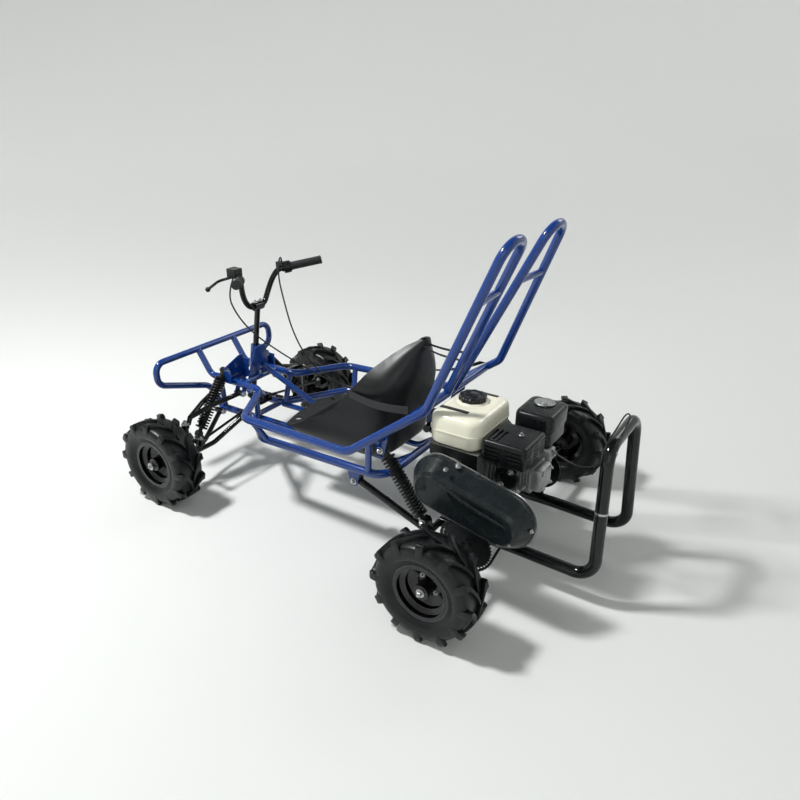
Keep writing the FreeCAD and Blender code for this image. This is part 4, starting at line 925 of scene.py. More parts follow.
@dataclass
class Fasteners:
    """Hexagon heads with washers, all on one body.

    Attributes:
        name: the piece's name.
        body: the body that they ride on.
        spots: each one's foot, the way it points, and its width across the flats in millimetres.
        washer: the washer's rings, for a head of 10 mm across the flats.
        head: the head's rings.
        thread: the rings of the thread's end.
    """

    name: str
    body: str
    spots: Spots
    washer: Rings = ((0, 4), (0, 9.2), (0.4, 9.6), (1.4, 9.6), (1.8, 9.2), (1.8, 4))
    head: Rings = ((1.5, 0.01), (1.5, 5.8), (7.2, 5.8), (8.0, 5.2), (8.0, 3.2))
    thread: Rings = ((7.5, 0.01), (7.5, 3.1), (10.2, 3.1), (11, 2.4), (11, 0.01))

    def build(self) -> None:
        """Copies one head to every spot."""
        washer, head = turned("washer", self.washer, 28), turned("head", self.head, 6)
        model = joined("head_model", [washer, head, turned("thread", self.thread, 20)])
        copies = []
        for number, (place, way, across) in enumerate(self.spots):
            move = facing(Vector(place), Vector(way)) @ Matrix.Scale(across / 10, 4)
            copies.append(twin(model, "head_%d" % number, move))
        bpy.data.objects.remove(model)
        settle(joined(self.name, copies), ZINC_PLATE, self.body, (), 30)


@dataclass
class RollerChain:
    """A roller chain round the two sprockets, link by link.

    Attributes:
        big: the axle sprocket's middle, along Y and Z.
        small: the jackshaft sprocket's middle.
        big_radius: the axle sprocket's pitch radius in millimetres.
        small_radius: the jackshaft sprocket's pitch radius.
        middle_x: where the chain runs along X.
        pitch: the distance between two joints.
        roller: the rings of a roller.
        eye: the rings of a plate's round end.
        waist: half the thickness and half the height of a plate between its ends.
        arc_steps: the parts that the pitch line's two arcs are each measured in.
    """

    big: tuple[float, float] = (495, 165)
    small: tuple[float, float] = (628, 318)
    big_radius: float = 90.0
    small_radius: float = 22.0
    middle_x: float = 300.0
    pitch: float = 12.7
    roller: Rings = ((-3.6, 0.01), (-3.6, 3.4), (-3.2, 3.8), (3.2, 3.8), (3.6, 3.4), (3.6, 0.01))
    eye: Rings = ((-0.6, 0.01), (-0.6, 4.1), (0.6, 4.1), (0.6, 0.01))
    waist: tuple[float, float] = (0.5, 2.8)
    arc_steps: int = 60

    def build(self) -> None:
        """Makes one roller and one plate pair, and copies them to every joint."""
        roller = turned("roller", self.roller, 14)
        narrow = self.plates("narrow", 3.4)
        wide = self.plates("wide", 4.4)
        stops = self.stops()
        copies = []
        for number, here in enumerate(stops):
            ahead = stops[(number + 1) % len(stops)]
            way = (ahead - here).normalized()
            turn = Matrix((Vector((1, 0, 0)), way, Vector((1, 0, 0)).cross(way))).transposed().to_4x4()
            place = Matrix.Translation(here * MM)
            copies.append(twin(roller, "roller_%d" % number, place))
            copies.append(twin(wide if number % 2 else narrow, "link_%d" % number, place @ turn))
        for model in (roller, narrow, wide):
            bpy.data.objects.remove(model)
        settle(joined("roller_chain", copies), CHAIN_STEEL, "chassis", ("drive_chain",), 30)

    def plates(self, name: str, reach: float) -> bpy.types.Object:
        """Makes a link's two waisted side plates, from one joint to the next along Y.

        Args:
            name: the link's name.
            reach: how far each plate lies from the chain's middle, in millimetres.

        Returns:
            The link's plates.
        """
        thick, tall = self.waist
        sides = []
        for sign in (-1, 1):
            for along in (0.0, self.pitch):
                eye = turned("eye", self.eye, 14)
                eye.data.transform(Matrix.Translation((sign * reach * MM, along * MM, 0)))
                sides.append(eye)
            low, high = sign * reach - thick, sign * reach + thick
            sides.append(boxed("waist", (low, 0, -tall), (high, self.pitch, tall), 0.2))
        return joined(name, sides)

    def stops(self) -> list[Vector]:
        """Finds the joints of the chain, evenly round its pitch line.

        Returns:
            Each joint's place in millimetres.
        """
        big, small = Vector(self.big), Vector(self.small)
        along = (small - big).normalized()
        across = Vector((-along.y, along.x))
        lean = math.asin((self.big_radius - self.small_radius) / (small - big).length)
        line = []
        for centre, radius, first, last in (
            (big, self.big_radius, math.pi / 2 - lean, 3 * math.pi / 2 + lean),
            (small, self.small_radius, -math.pi / 2 + lean, math.pi / 2 - lean),
        ):
            for step in range(self.arc_steps + 1):
                angle = first + (last - first) * step / self.arc_steps
                line.append(centre + (along * math.cos(angle) + across * math.sin(angle)) * radius)
        line.append(line[0])
        lengths = [(after - before).length for before, after in zip(line, line[1:])]
        count = round(sum(lengths) / self.pitch / 2) * 2
        step = sum(lengths) / count
        points, gone, want = [], 0.0, 0.0
        for before, after, length in zip(line, line[1:], lengths):
            while want <= gone + length and len(points) < count:
                spot = before.lerp(after, (want - gone) / length if length else 0)
                points.append(Vector((self.middle_x, spot.x, spot.y)))
                want += step
            gone += length
        return points


@dataclass
class ControlCable:
    """A vinyl-sleeved cable between the bar and the rear, along the CAD route.

    Attributes:
        name: the cable's name.
        route: the route's points in millimetres, from the bar.
        replaced: the CAD nodes that it stands for.
        diameter: its thickness in millimetres.
        follows: whether its first end lies at the handlebar; such a cable is baked in place and put on no body.
    """

    name: str
    route: tuple[Point, ...]
    replaced: tuple[str, ...] = ()
    diameter: float = 6.0
    follows: bool = True

    def build(self) -> None:
        """Draws the smooth line and gives it its sleeve; a cable at the bar is baked in place, and any other
        rides on the chassis.
        """
        sleeve, path = wire(self.name, self.route, self.diameter)
        dressed(sleeve, CABLE_VINYL)
        sleeve.data.polygons.foreach_set("use_smooth", [True] * len(sleeve.data.polygons))
        if self.replaced:
            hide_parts(*self.replaced)
        if self.follows:
            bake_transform(sleeve)
        else:
            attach(sleeve, "chassis")


BRAKE_ROUTE: tuple[Point, ...] = (
    (130.2, -582.5, 796), (146, -604, 735), (112, -606, 652), (46, -596, 560), (-42, -548, 466),
    (-130, -484, 380), (-206, -420, 310), (-241, -330, 291), (-239, -180, 290), (-236, -20, 294),
    (-222, 110, 302), (-194, 210, 308), (-200, 320, 302), (-234, 410, 288), (-262, 478, 261))
THROTTLE_ROUTE: tuple[Point, ...] = (
    (-120.2, -574.5, 806), (-118, -574, 832), (-92, -566, 812), (-82, -560, 748), (-76, -532, 660),
    (-74, -500, 560), (-92, -462, 462), (-142, -424, 372), (-204, -366, 308), (-229, -270, 291),
    (-226, -120, 291), (-222, 30, 297), (-200, 150, 312), (-160, 250, 340), (-128, 350, 366),
    (-118, 450, 384), (-84, 530, 392), (10, 566, 392))
TAIL_ROUTE: tuple[Point, ...] = (
    (46, 640, 420), (60, 690, 408), (82, 752, 410), (106, 804, 446), (122, 818, 490), (112, 824, 535),
    (103, 842, 580), (98, 858, 626), (82, 868, 616), (74, 861, 582), (70, 850, 542))


@dataclass
class FuelTank:
    """The pressed steel tank: two rounded halves on a seam, a lobed cap and two blank label strips.

    Attributes:
        low: the low corner of the seam's band, in millimetres.
        high: its high corner.
        corner: the radius of the upright corners.
        upper: the upper half's steps inwards and upwards from the seam.
        lower: the lower half's steps inwards and downwards.
        cap_at: the foot of the cap.
        boss: the rings of the raised boss under the cap.
        strips: each blank strip's low and high corners.
        cap_radius: the radius of the cap's skirt.
        lobes: the finger lobes round it.
        lobe_in: how far inside the skirt a lobe's middle lies.
        lobe: the rings of one lobe.
    """

    low: Point = (5, 312, 494)
    high: Point = (255, 490, 498)
    corner: float = 44.0
    upper: Rings = ((2, 0), (1, 27), (1.5, 8), (3, 6), (5, 4.5), (8, 2.8), (16, 1.4))
    lower: Rings = ((2, 0), (2, 34), (2, 6), (5, 5), (9, 3))
    cap_at: Point = (105, 392, 548)
    boss: Rings = ((-2, 52), (1, 51), (3.5, 48), (4.5, 44), (4, 38), (4, 0.01))
    strips: tuple[Box, ...] = (
        ((187, 330, 546.8), (203, 425, 549.2)), ((30, 384, 546.6), (43, 446, 548.9)))
    cap_radius: float = 42.0
    lobes: int = 10
    lobe_in: float = 6.0
    lobe: Rings = ((5, 0.01), (5, 8.5), (17, 8.5), (20, 5), (20, 0.01))

    def build(self) -> None:
        """Presses the halves and adds the cap and the strips."""
        shell = pressed("tank", self.low, self.high, self.corner, self.upper, self.lower, 10)
        boss = stood("boss", self.boss, self.cap_at, UP)
        parts = [dressed(shell, IVORY_ENAMEL), dressed(boss, IVORY_ENAMEL), dressed(self.cap(), BLACK_ABS)]
        parts += [dressed(boxed("strip", low, high, 0.4), LABEL_FILM) for low, high in self.strips]
        settle(joined("pressed_tank", parts), IVORY_ENAMEL, "chassis", ("fuel_tank",), 40)

    def cap(self) -> bpy.types.Object:
        """Turns the cap and sets its finger lobes round it.

        Returns:
            The cap in its place.
        """
        rim = self.cap_radius
        rings = (
            (2, 0.01), (2, rim - 2), (7, rim), (17, rim), (20, rim - 4), (20.5, rim - 12), (18, rim - 16),
            (21, rim - 20), (21.5, 0.01))
        parts = [turned("cap", rings)]
        lobe = turned("lobe", self.lobe, 16)
        reach = rim - self.lobe_in
        for step in range(self.lobes):
            angle = math.tau * step / self.lobes
            place = Vector((0, math.cos(angle) * reach, math.sin(angle) * reach))
            parts.append(twin(lobe, "lobe_%d" % step, Matrix.Translation(place * MM)))
        bpy.data.objects.remove(lobe)
        cap = joined("cap", parts)
        cap.data.transform(facing(Vector(self.cap_at), Vector(UP)))
        return cap


@dataclass(frozen=True)
class Ranks:
    """Equal boxes in ranks, such as slots or ribs, in millimetres.

    Attributes:
        low: the first box's low corner.
        size: a box's size.
        edge: the width of its rounded edges.
        beside: the way from a box to the next in its rank.
        count: the boxes in a rank.
        above: the way from a rank to the next.
        ranks: the number of ranks.
    """

    low: Point
    size: Point
    edge: float
    beside: Point
    count: int
    above: Point = (0, 0, 0)
    ranks: int = 1

    def build(self, name: str) -> list[bpy.types.Object]:
        """Makes the boxes.

        Args:
            name: the name of each.

        Returns:
            The boxes, rank by rank.
        """
        boxes = []
        for rank in range(self.ranks):
            for number in range(self.count):
                low = Vector(self.low) + Vector(self.beside) * number + Vector(self.above) * rank
                boxes.append(boxed(name, low, low + Vector(self.size), self.edge))
        return boxes


@dataclass
class Engine:
    """The open engine's outside: muffler shield, air cleaner, rocker cover, flange and carburettor.

    Attributes:
        shield: the low and high corners of the muffler's shield, in millimetres.
        shield_top: its steps inwards and upwards.
        shield_foot: its steps inwards and downwards.
        slots: the slots of its side, end and top.
        shield_boss: the rings of the round boss on it.
        base: the corners of the air cleaner's base.
        lid: the corners of its lid.
        lid_top: the lid's steps inwards and upwards.
        knob: the rings of the air cleaner's knob.
        rocker: the corners of the rocker cover.
        ribs: the cooling ribs beside it.
        carburettor: the corners of the carburettor's body.
        bowl: the rings of the carburettor's bowl.
        drum: the rings of its throttle drum.
        flange: the rings of the exhaust flange.
    """

    shield: Box = ((94, 496, 436), (244, 637, 494))
    shield_top: Rings = ((1, 3), (2, 3), (3, 2.2), (5, 1))
    shield_foot: Rings = ((2, 4), (4, 3))
    slots: tuple[Ranks, ...] = (
        Ranks((238, 508, 445), (12, 50, 5.5), 1.5, (0, 64, 0), 2, (0, 0, 12.5), 4),
        Ranks((104, 630, 442), (34, 12, 4.5), 1.2, (48, 0, 0), 3, (0, 0, 10.5), 5),
        Ranks((158, 507, 496), (70, 7, 16), 1.5, (0, 15, 0), 3))
    shield_boss: Rings = ((0, 0.01), (0, 16), (1.5, 16), (2.5, 14), (2.5, 0.01))
    base: Box = ((-88, 515, 428), (54, 634, 470))
    lid: Box = ((-92, 511, 474), (58, 638, 514))
    lid_top: Rings = ((1, 5), (2, 4.5), (4, 3), (8, 1.5))
    knob: Rings = (
        (0, 0.01), (0, 31), (2, 33), (5, 33), (6.5, 31), (5.5, 26), (5.5, 15), (8.5, 13), (8.5, 0.01))
    rocker: Box = ((96, 632, 338), (180, 668, 414))
    ribs: Ranks = Ranks((176, 603, 342), (13, 4, 64), 1.2, (0, 9, 0), 4)
    carburettor: Box = ((12, 590, 380), (54, 642, 420))
    bowl: Rings = ((0, 0.01), (0, 17), (22, 17), (28, 11), (28, 0.01))
    drum: Rings = ((0, 0.01), (0, 13), (3, 13), (4, 9), (9, 9), (10, 7), (10, 0.01))
    flange: Rings = ((-4, 0.01), (-4, 37), (6, 37), (8, 34), (8, 22), (5, 20), (5, 0.01))

    def build(self) -> None:
        """Builds each piece."""
        self.muffler()
        self.air_cleaner()
        self.details()

    def muffler(self) -> None:
        """Presses the muffler's shield, cuts its slots and sets its boss on top."""
        shield = pressed("shield", *self.shield, 12, self.shield_top, self.shield_foot, 5)
        cut_out(shield, [slot for ranks in self.slots for slot in ranks.build("slot")])
        boss = stood("boss", self.shield_boss, (160, 585, 502), UP, 32)
        muffler = joined("muffler_shield", [shield, boss])
        settle(muffler, HEAT_PAINT, "chassis", ("muffler",), 30)

    def air_cleaner(self) -> None:
        """Moulds the air cleaner's base and lid, with its round knob."""
        base = pressed("base", *self.base, 22, ((3, 0), (0.5, 3)), ((2, 3), (5, 2)), 3)
        lid = pressed("lid", *self.lid, 24, self.lid_top, ((3, 0.5),), 3)
        knob = stood("knob", self.knob, (-40, 572, 528), UP)
        parts = [dressed(base, BLACK_ABS), dressed(lid, BLACK_ABS), dressed(knob, ZINC_PLATE)]
        cleaner = joined("moulded_air_cleaner", parts)
        settle(cleaner, BLACK_ABS, "chassis", ("air_cleaner",), 30)

    def details(self) -> None:
        """Adds the rocker cover, its ribs, the carburettor and the black flange."""
        cover = boxed("rocker", *self.rocker, 13)
        body = boxed("carburettor", *self.carburettor, 6)
        bowl = stood("bowl", self.bowl, (33, 622, 394), (0, 0, -1), 28)
        drum = stood("drum", self.drum, (34, 641, 404), (0, 1, 0), 28)
        parts = [cover, body, bowl, drum] + self.ribs.build("rib")
        settle(joined("engine_castings", parts), CAST_ALUMINIUM, "chassis", (), 35)
        flange = stood("exhaust_flange", self.flange, (203, 566, 376), (1, 0, 0), 48)
        settle(flange, HEAT_PAINT, "chassis", (), 35)


@dataclass
class CoverTrim:
    """The belt cover's rim bead, its ridge, and near-black discs of painted shade that stand for the small air
    holes of its front end.

    Attributes:
        face_x: where the cover's face lies along X, in millimetres.
        front: the middle of its front end, along Y and Z.
        rear: the middle of its rear end.
        radius: the bead's radius round both ends.
        bead_width: the bead's thickness.
        ridge: the line of the ridge.
        ridge_width: its thickness.
        hole: the rings of one hole's shaded disc.
        hole_rows: the arcs of holes, of which each has one hole less than the last.
        hole_turns: the first hole's angle, the angle between holes and that between arcs' starts, in degrees.
        hole_reach: the outer arc's radius, and the way from an arc to the next.
    """

    face_x: float = 388.0
    front: tuple[float, float] = (408, 368)
    rear: tuple[float, float] = (628, 318)
    radius: float = 48.0
    bead_width: float = 3.4
    ridge: tuple[Point, ...] = (
        (380, 425, 412), (384, 452, 402), (385, 505, 376), (385, 600, 347), (382, 655, 331))
    ridge_width: float = 13.0
    hole: Rings = ((-1, 0.01), (-1, 1.7), (0.5, 1.7), (0.6, 1.4), (0.6, 0.01))
    hole_rows: int = 5
    hole_turns: tuple[float, float, float] = (112, 11, 5)
    hole_reach: tuple[float, float] = (42, 6.5)

    def build(self) -> None:
        """Adds the bead, the ridge and the holes to the cover."""
        bead, _ = wire("bead", self.outline(), self.bead_width)
        ridge, _ = wire("ridge", self.ridge, self.ridge_width)
        parts = [dressed(bead, COVER_PLASTIC), dressed(ridge, COVER_PLASTIC)] + self.holes()
        settle(joined("cover_trim", parts), COVER_PLASTIC, "chassis", (), 40)

    def outline(self) -> tuple[Point, ...]:
        """Runs the bead's line round both ends.

        Returns:
            Its points in millimetres, with the first two again at its end.
        """
        front, rear = Vector(self.front), Vector(self.rear)
        lean = math.atan2(rear.y - front.y, rear.x - front.x)
        points = []
        for centre, first in ((front, math.pi / 2), (rear, -math.pi / 2)):
            for step in range(13):
                angle = lean + first + math.pi * step / 12
                spot = centre + Vector((math.cos(angle), math.sin(angle))) * self.radius
                points.append((self.face_x, spot.x, spot.y))
        return tuple(points + points[:2])

    def holes(self) -> list[bpy.types.Object]:
        """Sets the holes' discs of painted shade in arcs on the front end.

        Returns:
            The holes' shaded discs.
        """
        start, between, shift = self.hole_turns
        outer, inwards = self.hole_reach
        hole = dressed(turned("hole", self.hole, 8), HOLE_SHADE)
        holes = []
        for row in range(self.hole_rows):
            for step in range(9 - row):
                angle = math.radians(start + step * between + row * shift)
                reach = outer - row * inwards
                along = self.front[0] + math.cos(angle) * reach
                place = Vector((self.face_x, along, self.front[1] + math.sin(angle) * reach))
                holes.append(twin(hole, "hole_%d_%d" % (row, step), Matrix.Translation(place * MM)))
        bpy.data.objects.remove(hole)
        return holes


@dataclass
class SeatShell:
    """The blow-moulded seat: a pan with two wings that sweep up into a pointed back.

    Attributes:
        rows: each level's height, half width, back, corner radius and front end, in millimetres.
        steps: the parts that a level's straight side, its corner and the lip are each cut into.
        lip_z: the height of the flat front lip.
        lip_set: how far ahead of the level's front ends the lip's own corners lie.
        nose: how far forward the lip's middle reaches.
        wall: the thickness of the moulded wall.
        hole_at: each hole's distance from the middle and place along Y, on the lip.
        hole: the rings that cut one hole.
    """

    rows: tuple[tuple[float, float, float, float, float], ...] = (
        (250, 134, 60, 70, -285), (254, 144, 70, 78, -287), (262, 154, 82, 86, -290),
        (273, 164, 94, 92, -296), (285, 169, 100, 95, -304), (297, 172, 104, 97, -308),
        (315, 173, 108, 99, -273), (340, 174, 112, 100, -224), (375, 174, 119, 102, -163),
        (410, 174, 126, 104, -116), (445, 174, 133, 106, -82), (480, 173.5, 140, 108, -52),
        (505, 171, 145, 109, -31), (530, 163, 149, 108, -11), (555, 148, 153, 102, 7),
        (580, 127, 157, 92, 28), (605, 102, 160, 78, 53), (630, 75, 163, 60, 80), (652, 48, 166, 40, 107),
        (674, 20, 169, 17, 146))
    steps: int = 12
    lip_z: float = 285.0
    lip_set: float = 34.0
    nose: float = -370.0
    wall: float = 5.0
    hole_at: tuple[float, float] = (105, -331)
    hole: Rings = ((-20, 0.01), (-20, 12), (20, 12), (20, 0.01))

    def build(self) -> None:
        """Makes the sheet, gives it its wall and cuts the two holes in its lip."""
        corners, faces = self.levels()
        self.lip(corners, faces)
        seat = sheet("moulded_seat", corners, faces)
        edit()
        bpy.ops.mesh.normals_make_consistent(inside=False)
        bpy.ops.object.mode_set(mode="OBJECT")
        thicken(seat, self.wall, -1, True)
        across, along = self.hole_at
        spots = [(side * across, along, self.lip_z) for side in (-1, 1)]
        cut_out(seat, [stood("hole", self.hole, spot, UP, 32) for spot in spots])
        settle(seat, SEAT_POLYETHYLENE, "chassis", ("seat",), 40)

    def row(self, height: float, half: float, back: float, corner: float, front: float) -> list[Point]:
        """Runs one level's line from the left front end round the back to the right front end.

        Args:
            height: the level's height in millimetres.
            half: half its width.
            back: how far back it reaches.
            corner: the radius of its rear corners.
            front: where its two ends lie along Y.

        Returns:
            The line's points in metres.
        """
        side = [(half, front + (back - corner - front) * step / self.steps) for step in range(self.steps)]
        for step in range(self.steps + 1):
            angle = math.pi / 2 * step / self.steps
            side.append((half - corner + corner * math.cos(angle), back - corner + corner * math.sin(angle)))
        line = side + [(-across, along) for across, along in reversed(side)]
        return [(across * MM, along * MM, height * MM) for across, along in line]

    def levels(self) -> tuple[list[Point], list[tuple[int, ...]]]:
        """Lays the levels on each other; the pan's are closed in front, and the lowest is the floor.

        Returns:
            The sheet's corners in metres, and its faces.
        """
        corners, faces = [], []
        for level, values in enumerate(self.rows):
            line = self.row(*values)
            corners += line
            count = len(line)
            if level:
                low, high = (level - 1) * count, level * count
                faces += [(low + at, low + at + 1, high + at + 1, high + at) for at in range(count - 1)]
                if values[0] <= self.lip_z:
                    faces.append((low + count - 1, low, high, high + count - 1))
        faces.append(tuple(reversed(range(count))))
        return corners, faces

    def lip(self, corners: list[Point], faces: list[tuple[int, ...]]) -> None:
        """Adds the flat lip in front of the level at its height.

        Args:
            corners: the sheet's corners, which take the lip's.
            faces: its faces.
        """
        count = len(corners) // len(self.rows)
        level = [values[0] for values in self.rows].index(self.lip_z)
        half, front = self.rows[level][1], self.rows[level][4]
        first = len(corners)
        for step in range(self.steps + 1):
            across = half - 2 * half * step / self.steps
            along = self.nose + (front - self.lip_set - self.nose) * abs(across / half) ** 2
            corners.append((across * MM, along * MM, self.lip_z * MM))
        faces.append((level * count, *range(first, len(corners)), level * count + count - 1))


@dataclass
class Handlebar:
    """The handlebar, bent from one tube with easy double bends between the clamp and the grips.

    Attributes:
        half: the left half's line in millimetres, from the grip to the clamp.
        middle: the bar's middle, in the clamp.
        diameter: the tube's thickness.
    """

    half: tuple[Point, ...] = (
        (229, -469.6, 808.2), (128, -554.6, 788), (100, -578.5, 782), (82, -597, 742), (64, -607, 692),
        (40, -603, 656))
    middle: Point = (0, -601.5, 655)
    diameter: float = 22.0

    def build(self) -> None:
        """Bends the bar."""
        other = tuple((-across, along, height) for across, along, height in reversed(self.half))
        bar, _ = wire("bent_handlebar", self.half + (self.middle,) + other, self.diameter)
        settle(bar, BLACK_ENAMEL, "steering", ("handlebar",), 40)


@dataclass
class Grips:
    """The two ribbed grips on the bar's ends.

    Attributes:
        end: the left end of the bar in millimetres.
        way: the way that it points there.
        inner: the rings of the grip's collar.
        rib: the rings of one rib.
        ribs: the number of ribs.
        rib_first: where the first rib starts along the grip.
        rib_step: the way from a rib to the next.
        outer: the rings of the closed end.
    """

    end: Point = (228, -470.44, 808)
    way: Point = (0.756272, 0.636529, 0.151254)
    inner: Rings = ((-118, 11.3), (-118, 17), (-115, 17.5), (-112, 17), (-111, 15.2))
    rib: Rings = ((0, 15.2), (0.7, 15.9), (2.4, 15.9), (3.1, 15.2))
    ribs: int = 26
    rib_first: float = -109.0
    rib_step: float = 4.2
    outer: Rings = ((0.5, 15.4), (1.5, 16.8), (3, 16.9), (4, 15.5), (4, 0.01))

    def build(self) -> None:
        """Makes both grips."""
        starts = [self.rib_first + step * self.rib_step for step in range(self.ribs)]
        ribs = tuple((start + along, radius) for start in starts for along, radius in self.rib)
        rings = self.inner + ribs + self.outer
        ends = both(((self.end, self.way, 0),))
        grips = [stood("grip", rings, end, way, 40) for end, way, _ in ends]
        settle(joined("ribbed_grips", grips), GRIP_RUBBER, "steering", ("grips",), 30)


@dataclass
class Webbing:
    """The lap band's ends and the shoulder straps, as webbing sheets with a thickness.

    Attributes:
        straps: each strap's line in millimetres, and the way and width across it.
        thickness: the webbing's thickness.
    """

    straps: tuple[tuple[tuple[Point, ...], Point], ...] = (
        (((171, -42, 489), (192, 30, 488), (216, 110, 498), (240, 190, 516), (254, 249, 533)), (0, 0, 26)),
        (((-170, -42, 486), (-186, 20, 476), (-206, 95, 474), (-232, 180, 496), (-252, 246, 528)),
         (17, -13, 8)),
        (((17, 161, 648), (24, 205, 640), (31, 255, 638), (37, 301, 641)), (17, 4, 13)),
        (((-17, 161, 648), (-24, 205, 640), (-31, 255, 638), (-37, 301, 641)), (17, 4, 13)))
    thickness: float = 2.2

    def build(self) -> None:
        """Lays a sheet along each strap's line."""
        straps = []
        for number, (points, width) in enumerate(self.straps):
            line, path = wire("line", points, 1)
            bpy.data.objects.remove(line)
            half = Vector(width) / 2 * MM
            corners = [point + sign * half for point in path for sign in (-1, 1)]
            faces = [(2 * row, 2 * row + 1, 2 * row + 3, 2 * row + 2) for row in range(len(path) - 1)]
            strap = sheet("strap_%d" % number, corners, faces)
            thicken(strap, self.thickness, 0)
            straps.append(strap)
        settle(joined("webbing_straps", straps), POLYESTER_WEBBING, "chassis", ("seat_belts",), 40)


@dataclass
class RimHighlightRings:
    """Painted highlights: thin bright rings along the rolled edges of each rim's open side, standing for the
    gloss on the enamel there.

    Attributes:
        rings: each ring's outline along X and outwards, in millimetres.
    """

    rings: tuple[Rings, ...] = (
        ((46, 86.2), (46.8, 87), (47, 88), (46.5, 89.2)), ((45, 76.6), (46.2, 77), (46.2, 78), (45, 78.6)),
        ((20.5, 62.8), (22, 63.2), (22.4, 64), (21.5, 64.6)))

    def build(self) -> None:
        """Lays a copy of the rings on each rim."""
        model = joined("rim_highlight_rings", [turned("edge", rings, 72) for rings in self.rings])
        for corner, body, place in WHEELS:
            side = Matrix.Diagonal((math.copysign(1, place[0]), 1, 1, 1))
            edges = twin(model, corner + "_rim_highlight_rings", Matrix.Translation(Vector(place) * MM) @ side)
            # The rings carry a pale metallic tone as painted highlights.
            settle(edges, RIM_HIGHLIGHT_PAINT, body, (), 40)
        bpy.data.objects.remove(model)


@dataclass
class GuardRings:
    """The two thin clamp rings on the rear guard's legs.

    Attributes:
        spots: each ring's middle in millimetres, and the way of the leg there.
        ring: the ring's outline.
    """

    spots: tuple[tuple[Point, Point], ...] = (
        ((112.6, 835.5, 502.4), (-0.707, 0, 0.707)), ((144.1, 843, 322), (0.071, 0.04, -0.997)))
    ring: Rings = ((-3.5, 18.6), (-3.5, 20.2), (3.5, 20.2), (3.5, 18.6))

    def build(self) -> None:
        """Puts the rings on."""
        rings = [stood("ring", self.ring, place, way, 40) for place, way in self.spots]
        settle(joined("guard_rings", rings), ZINC_PLATE, "chassis", (), 30)


@dataclass
class FrameFinishes:
    """The finishes of the CAD nodes that are carried over.

    Attributes:
        patches: each part of a node with another finish: the node, the finish, and the low and high
            corners of the box that it lies in, in millimetres.
    """

    patches: tuple[tuple[str, Finish, Point, Point], ...] = (
        # The engine block's side under the tank is heat-proof black: partly the black blower housing, partly
        # painted shade of the dark gap between the tank and the belt cover.
        ("engine_block", HEAT_PAINT, (236, 300, 250), (262, 500, 460)),
        ("knuckle_left", ZINC_PLATE, (506, -710, 140), (530, -660, 190)),
        ("knuckle_right", ZINC_PLATE, (-530, -710, 140), (-506, -660, 190)))

    def build(self, nodes: dict[str, bpy.types.Object]) -> None:
        """Gives every node its finish.

        Args:
            nodes: the frame's objects, by name.
        """
        for finish, names in CARRIED.items():
            for name in names:
                dressed(nodes[name], finish)
        for name, finish, low, high in self.patches:
            painted(nodes[name], finish, low, high)


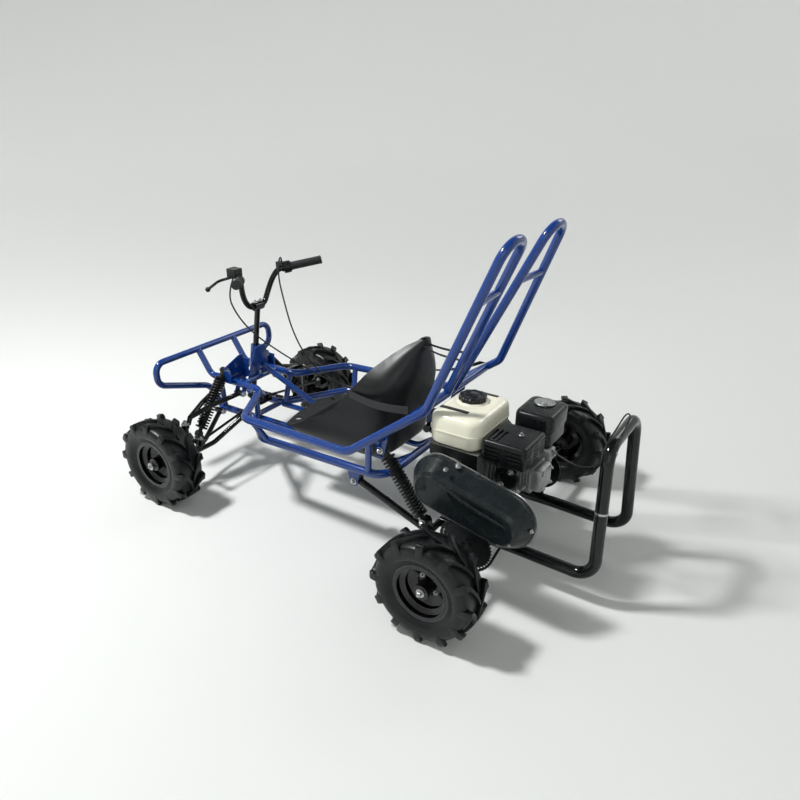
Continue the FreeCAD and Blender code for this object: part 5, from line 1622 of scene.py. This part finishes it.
@dataclass
class BoltSets:
    """The bolts and nuts of every body: each one's foot, way and width across the flats.

    Attributes:
        pivots: the front arms' pivot bolts on the frame.
        frame: the frame's other bolts on the left side.
        engine: the bolts of the engine, cover and exhaust.
        clamp: the handlebar clamp's bolt on the left.
        wheel_nuts: the nuts round a wheel's middle.
        nut_circle: the radius of their circle in millimetres.
        nut_set: how far inside the wheel's middle they stand.
        axle_end: where the rear axle's nuts sit along X.
    """

    pivots: Spots = tuple(
        ((across, -685 + shift + side * 19, height), (0, side, 0), 12.0)
        for across, height in ((110, 322), (114, 216)) for shift in (-60, 60) for side in (-1, 1))
    frame: Spots = (
        ((112, -681.8, 402), (0, 1, 0), 12), ((112, -712, 402), (0, -1, 0), 12),
        ((345, -685, 263), (0, 0, 1), 16), ((345, -685, 121), (0, 0, -1), 16), ((259, 312, 150), (1, 0, 0), 13),
        ((262.5, 150, 368), (1, 0, 0), 13), ((255.5, 36, 212), (1, 0, 0), 13))
    engine: Spots = (
        ((334, 472, 449), (0.45, 0.2, 0.87), 11), ((387, 668, 283), (0.95, 0.1, -0.3), 6),
        ((344, 712, 322), (0.3, 0.95, 0), 7), ((210.5, 580, 401), (1, 0, 0), 11),
        ((210.5, 552, 352), (1, 0, 0), 11), ((189, 616, 350), (1, 0, 0), 11), ((164, 667, 400), (0, 1, 0), 8),
        ((112, 667, 400), (0, 1, 0), 8), ((164, 667, 352), (0, 1, 0), 8), ((112, 667, 352), (0, 1, 0), 8),
        ((160, 585, 504.5), (0, 0, 1), 9), ((374, 452, 449), (0.45, 0.2, 0.87), 8))
    clamp: tuple[Point, Point, float] = ((14, -599, 672.5), (0, 0.158, 0.987), 9)
    wheel_nuts: int = 4
    nut_circle: float = 31.0
    nut_set: float = 6.0
    axle_end: float = 570.0

    def build(self) -> None:
        """Puts the bolts and nuts on every body."""
        Fasteners("frame_bolts", "chassis", both(self.pivots + self.frame)).build()
        Fasteners("engine_bolts", "chassis", self.engine).build()
        Fasteners("bar_clamp_bolts", "steering", both((self.clamp,))).build()
        for side, sign in SIDES:
            knuckle = (((sign * 345, -605, 224.4), (0, 0, 1), 10), ((sign * 522, -685, 165), (sign, 0, 0), 9))
            Fasteners("knuckle_nuts_" + side, "knuckle_" + side, knuckle).build()
            for corner, body, place in WHEELS:
                if corner.endswith(side):
                    Fasteners(corner + "_wheel_nuts", body, self.wheel(body, sign, place)).build()

    def wheel(self, body: str, sign: int, place: Point) -> Spots:
        """Finds the nuts of one wheel, with the axle's at the rear.

        Args:
            body: the body that the wheel turns with.
            sign: 1 on the left side and -1 on the right.
            place: the wheel's middle in millimetres.

        Returns:
            Each nut's foot, way and size.
        """
        across, along, height = place
        spots = []
        for step in range(self.wheel_nuts):
            angle = math.tau * (step + 0.5) / self.wheel_nuts
            foot = (
                across - sign * self.nut_set, along + self.nut_circle * math.cos(angle),
                height + self.nut_circle * math.sin(angle))
            spots.append((foot, (sign, 0, 0), 8))
        if body == "rear_axle":
            spots.append(((sign * self.axle_end, along, height), (sign, 0, 0), 14))
        return tuple(spots)


def main() -> None:
    """Builds the pieces in order."""
    logging.basicConfig(level=logging.INFO, format="%(message)s")
    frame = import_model()
    bpy.ops.object.select_all(action="DESELECT")
    Studio().build()
    FrameFinishes().build(frame["nodes"])
    Tyres().build()
    for side, sign in SIDES:
        low, top = (sign * 286, -685, 200), (sign * 112, -700, 402)
        CoilShock("front_coil_shock_" + side, "front_shock_" + side, low, top, (0, 1, 0), 48).build()
        low, top = (sign * 246, 312, 150), (sign * 246, 150, 368)
        CoilShock("rear_coil_shock_" + side, "rear_shock_" + side, low, top, (1, 0, 0), 50).build()
    RollerChain().build()
    ControlCable("brake_cable", BRAKE_ROUTE, ("control_cables",)).build()
    ControlCable("throttle_cable", THROTTLE_ROUTE).build()
    ControlCable("tail_cable", TAIL_ROUTE, (), 4.5, False).build()
    for assembly in (
        FuelTank(), Engine(), CoverTrim(), GuardRings(), RimHighlightRings(), SeatShell(), Webbing(), Handlebar(),
        Grips(), BoltSets(),
    ):
        assembly.build()
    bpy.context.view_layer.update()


if __name__ == "__main__":
    main()
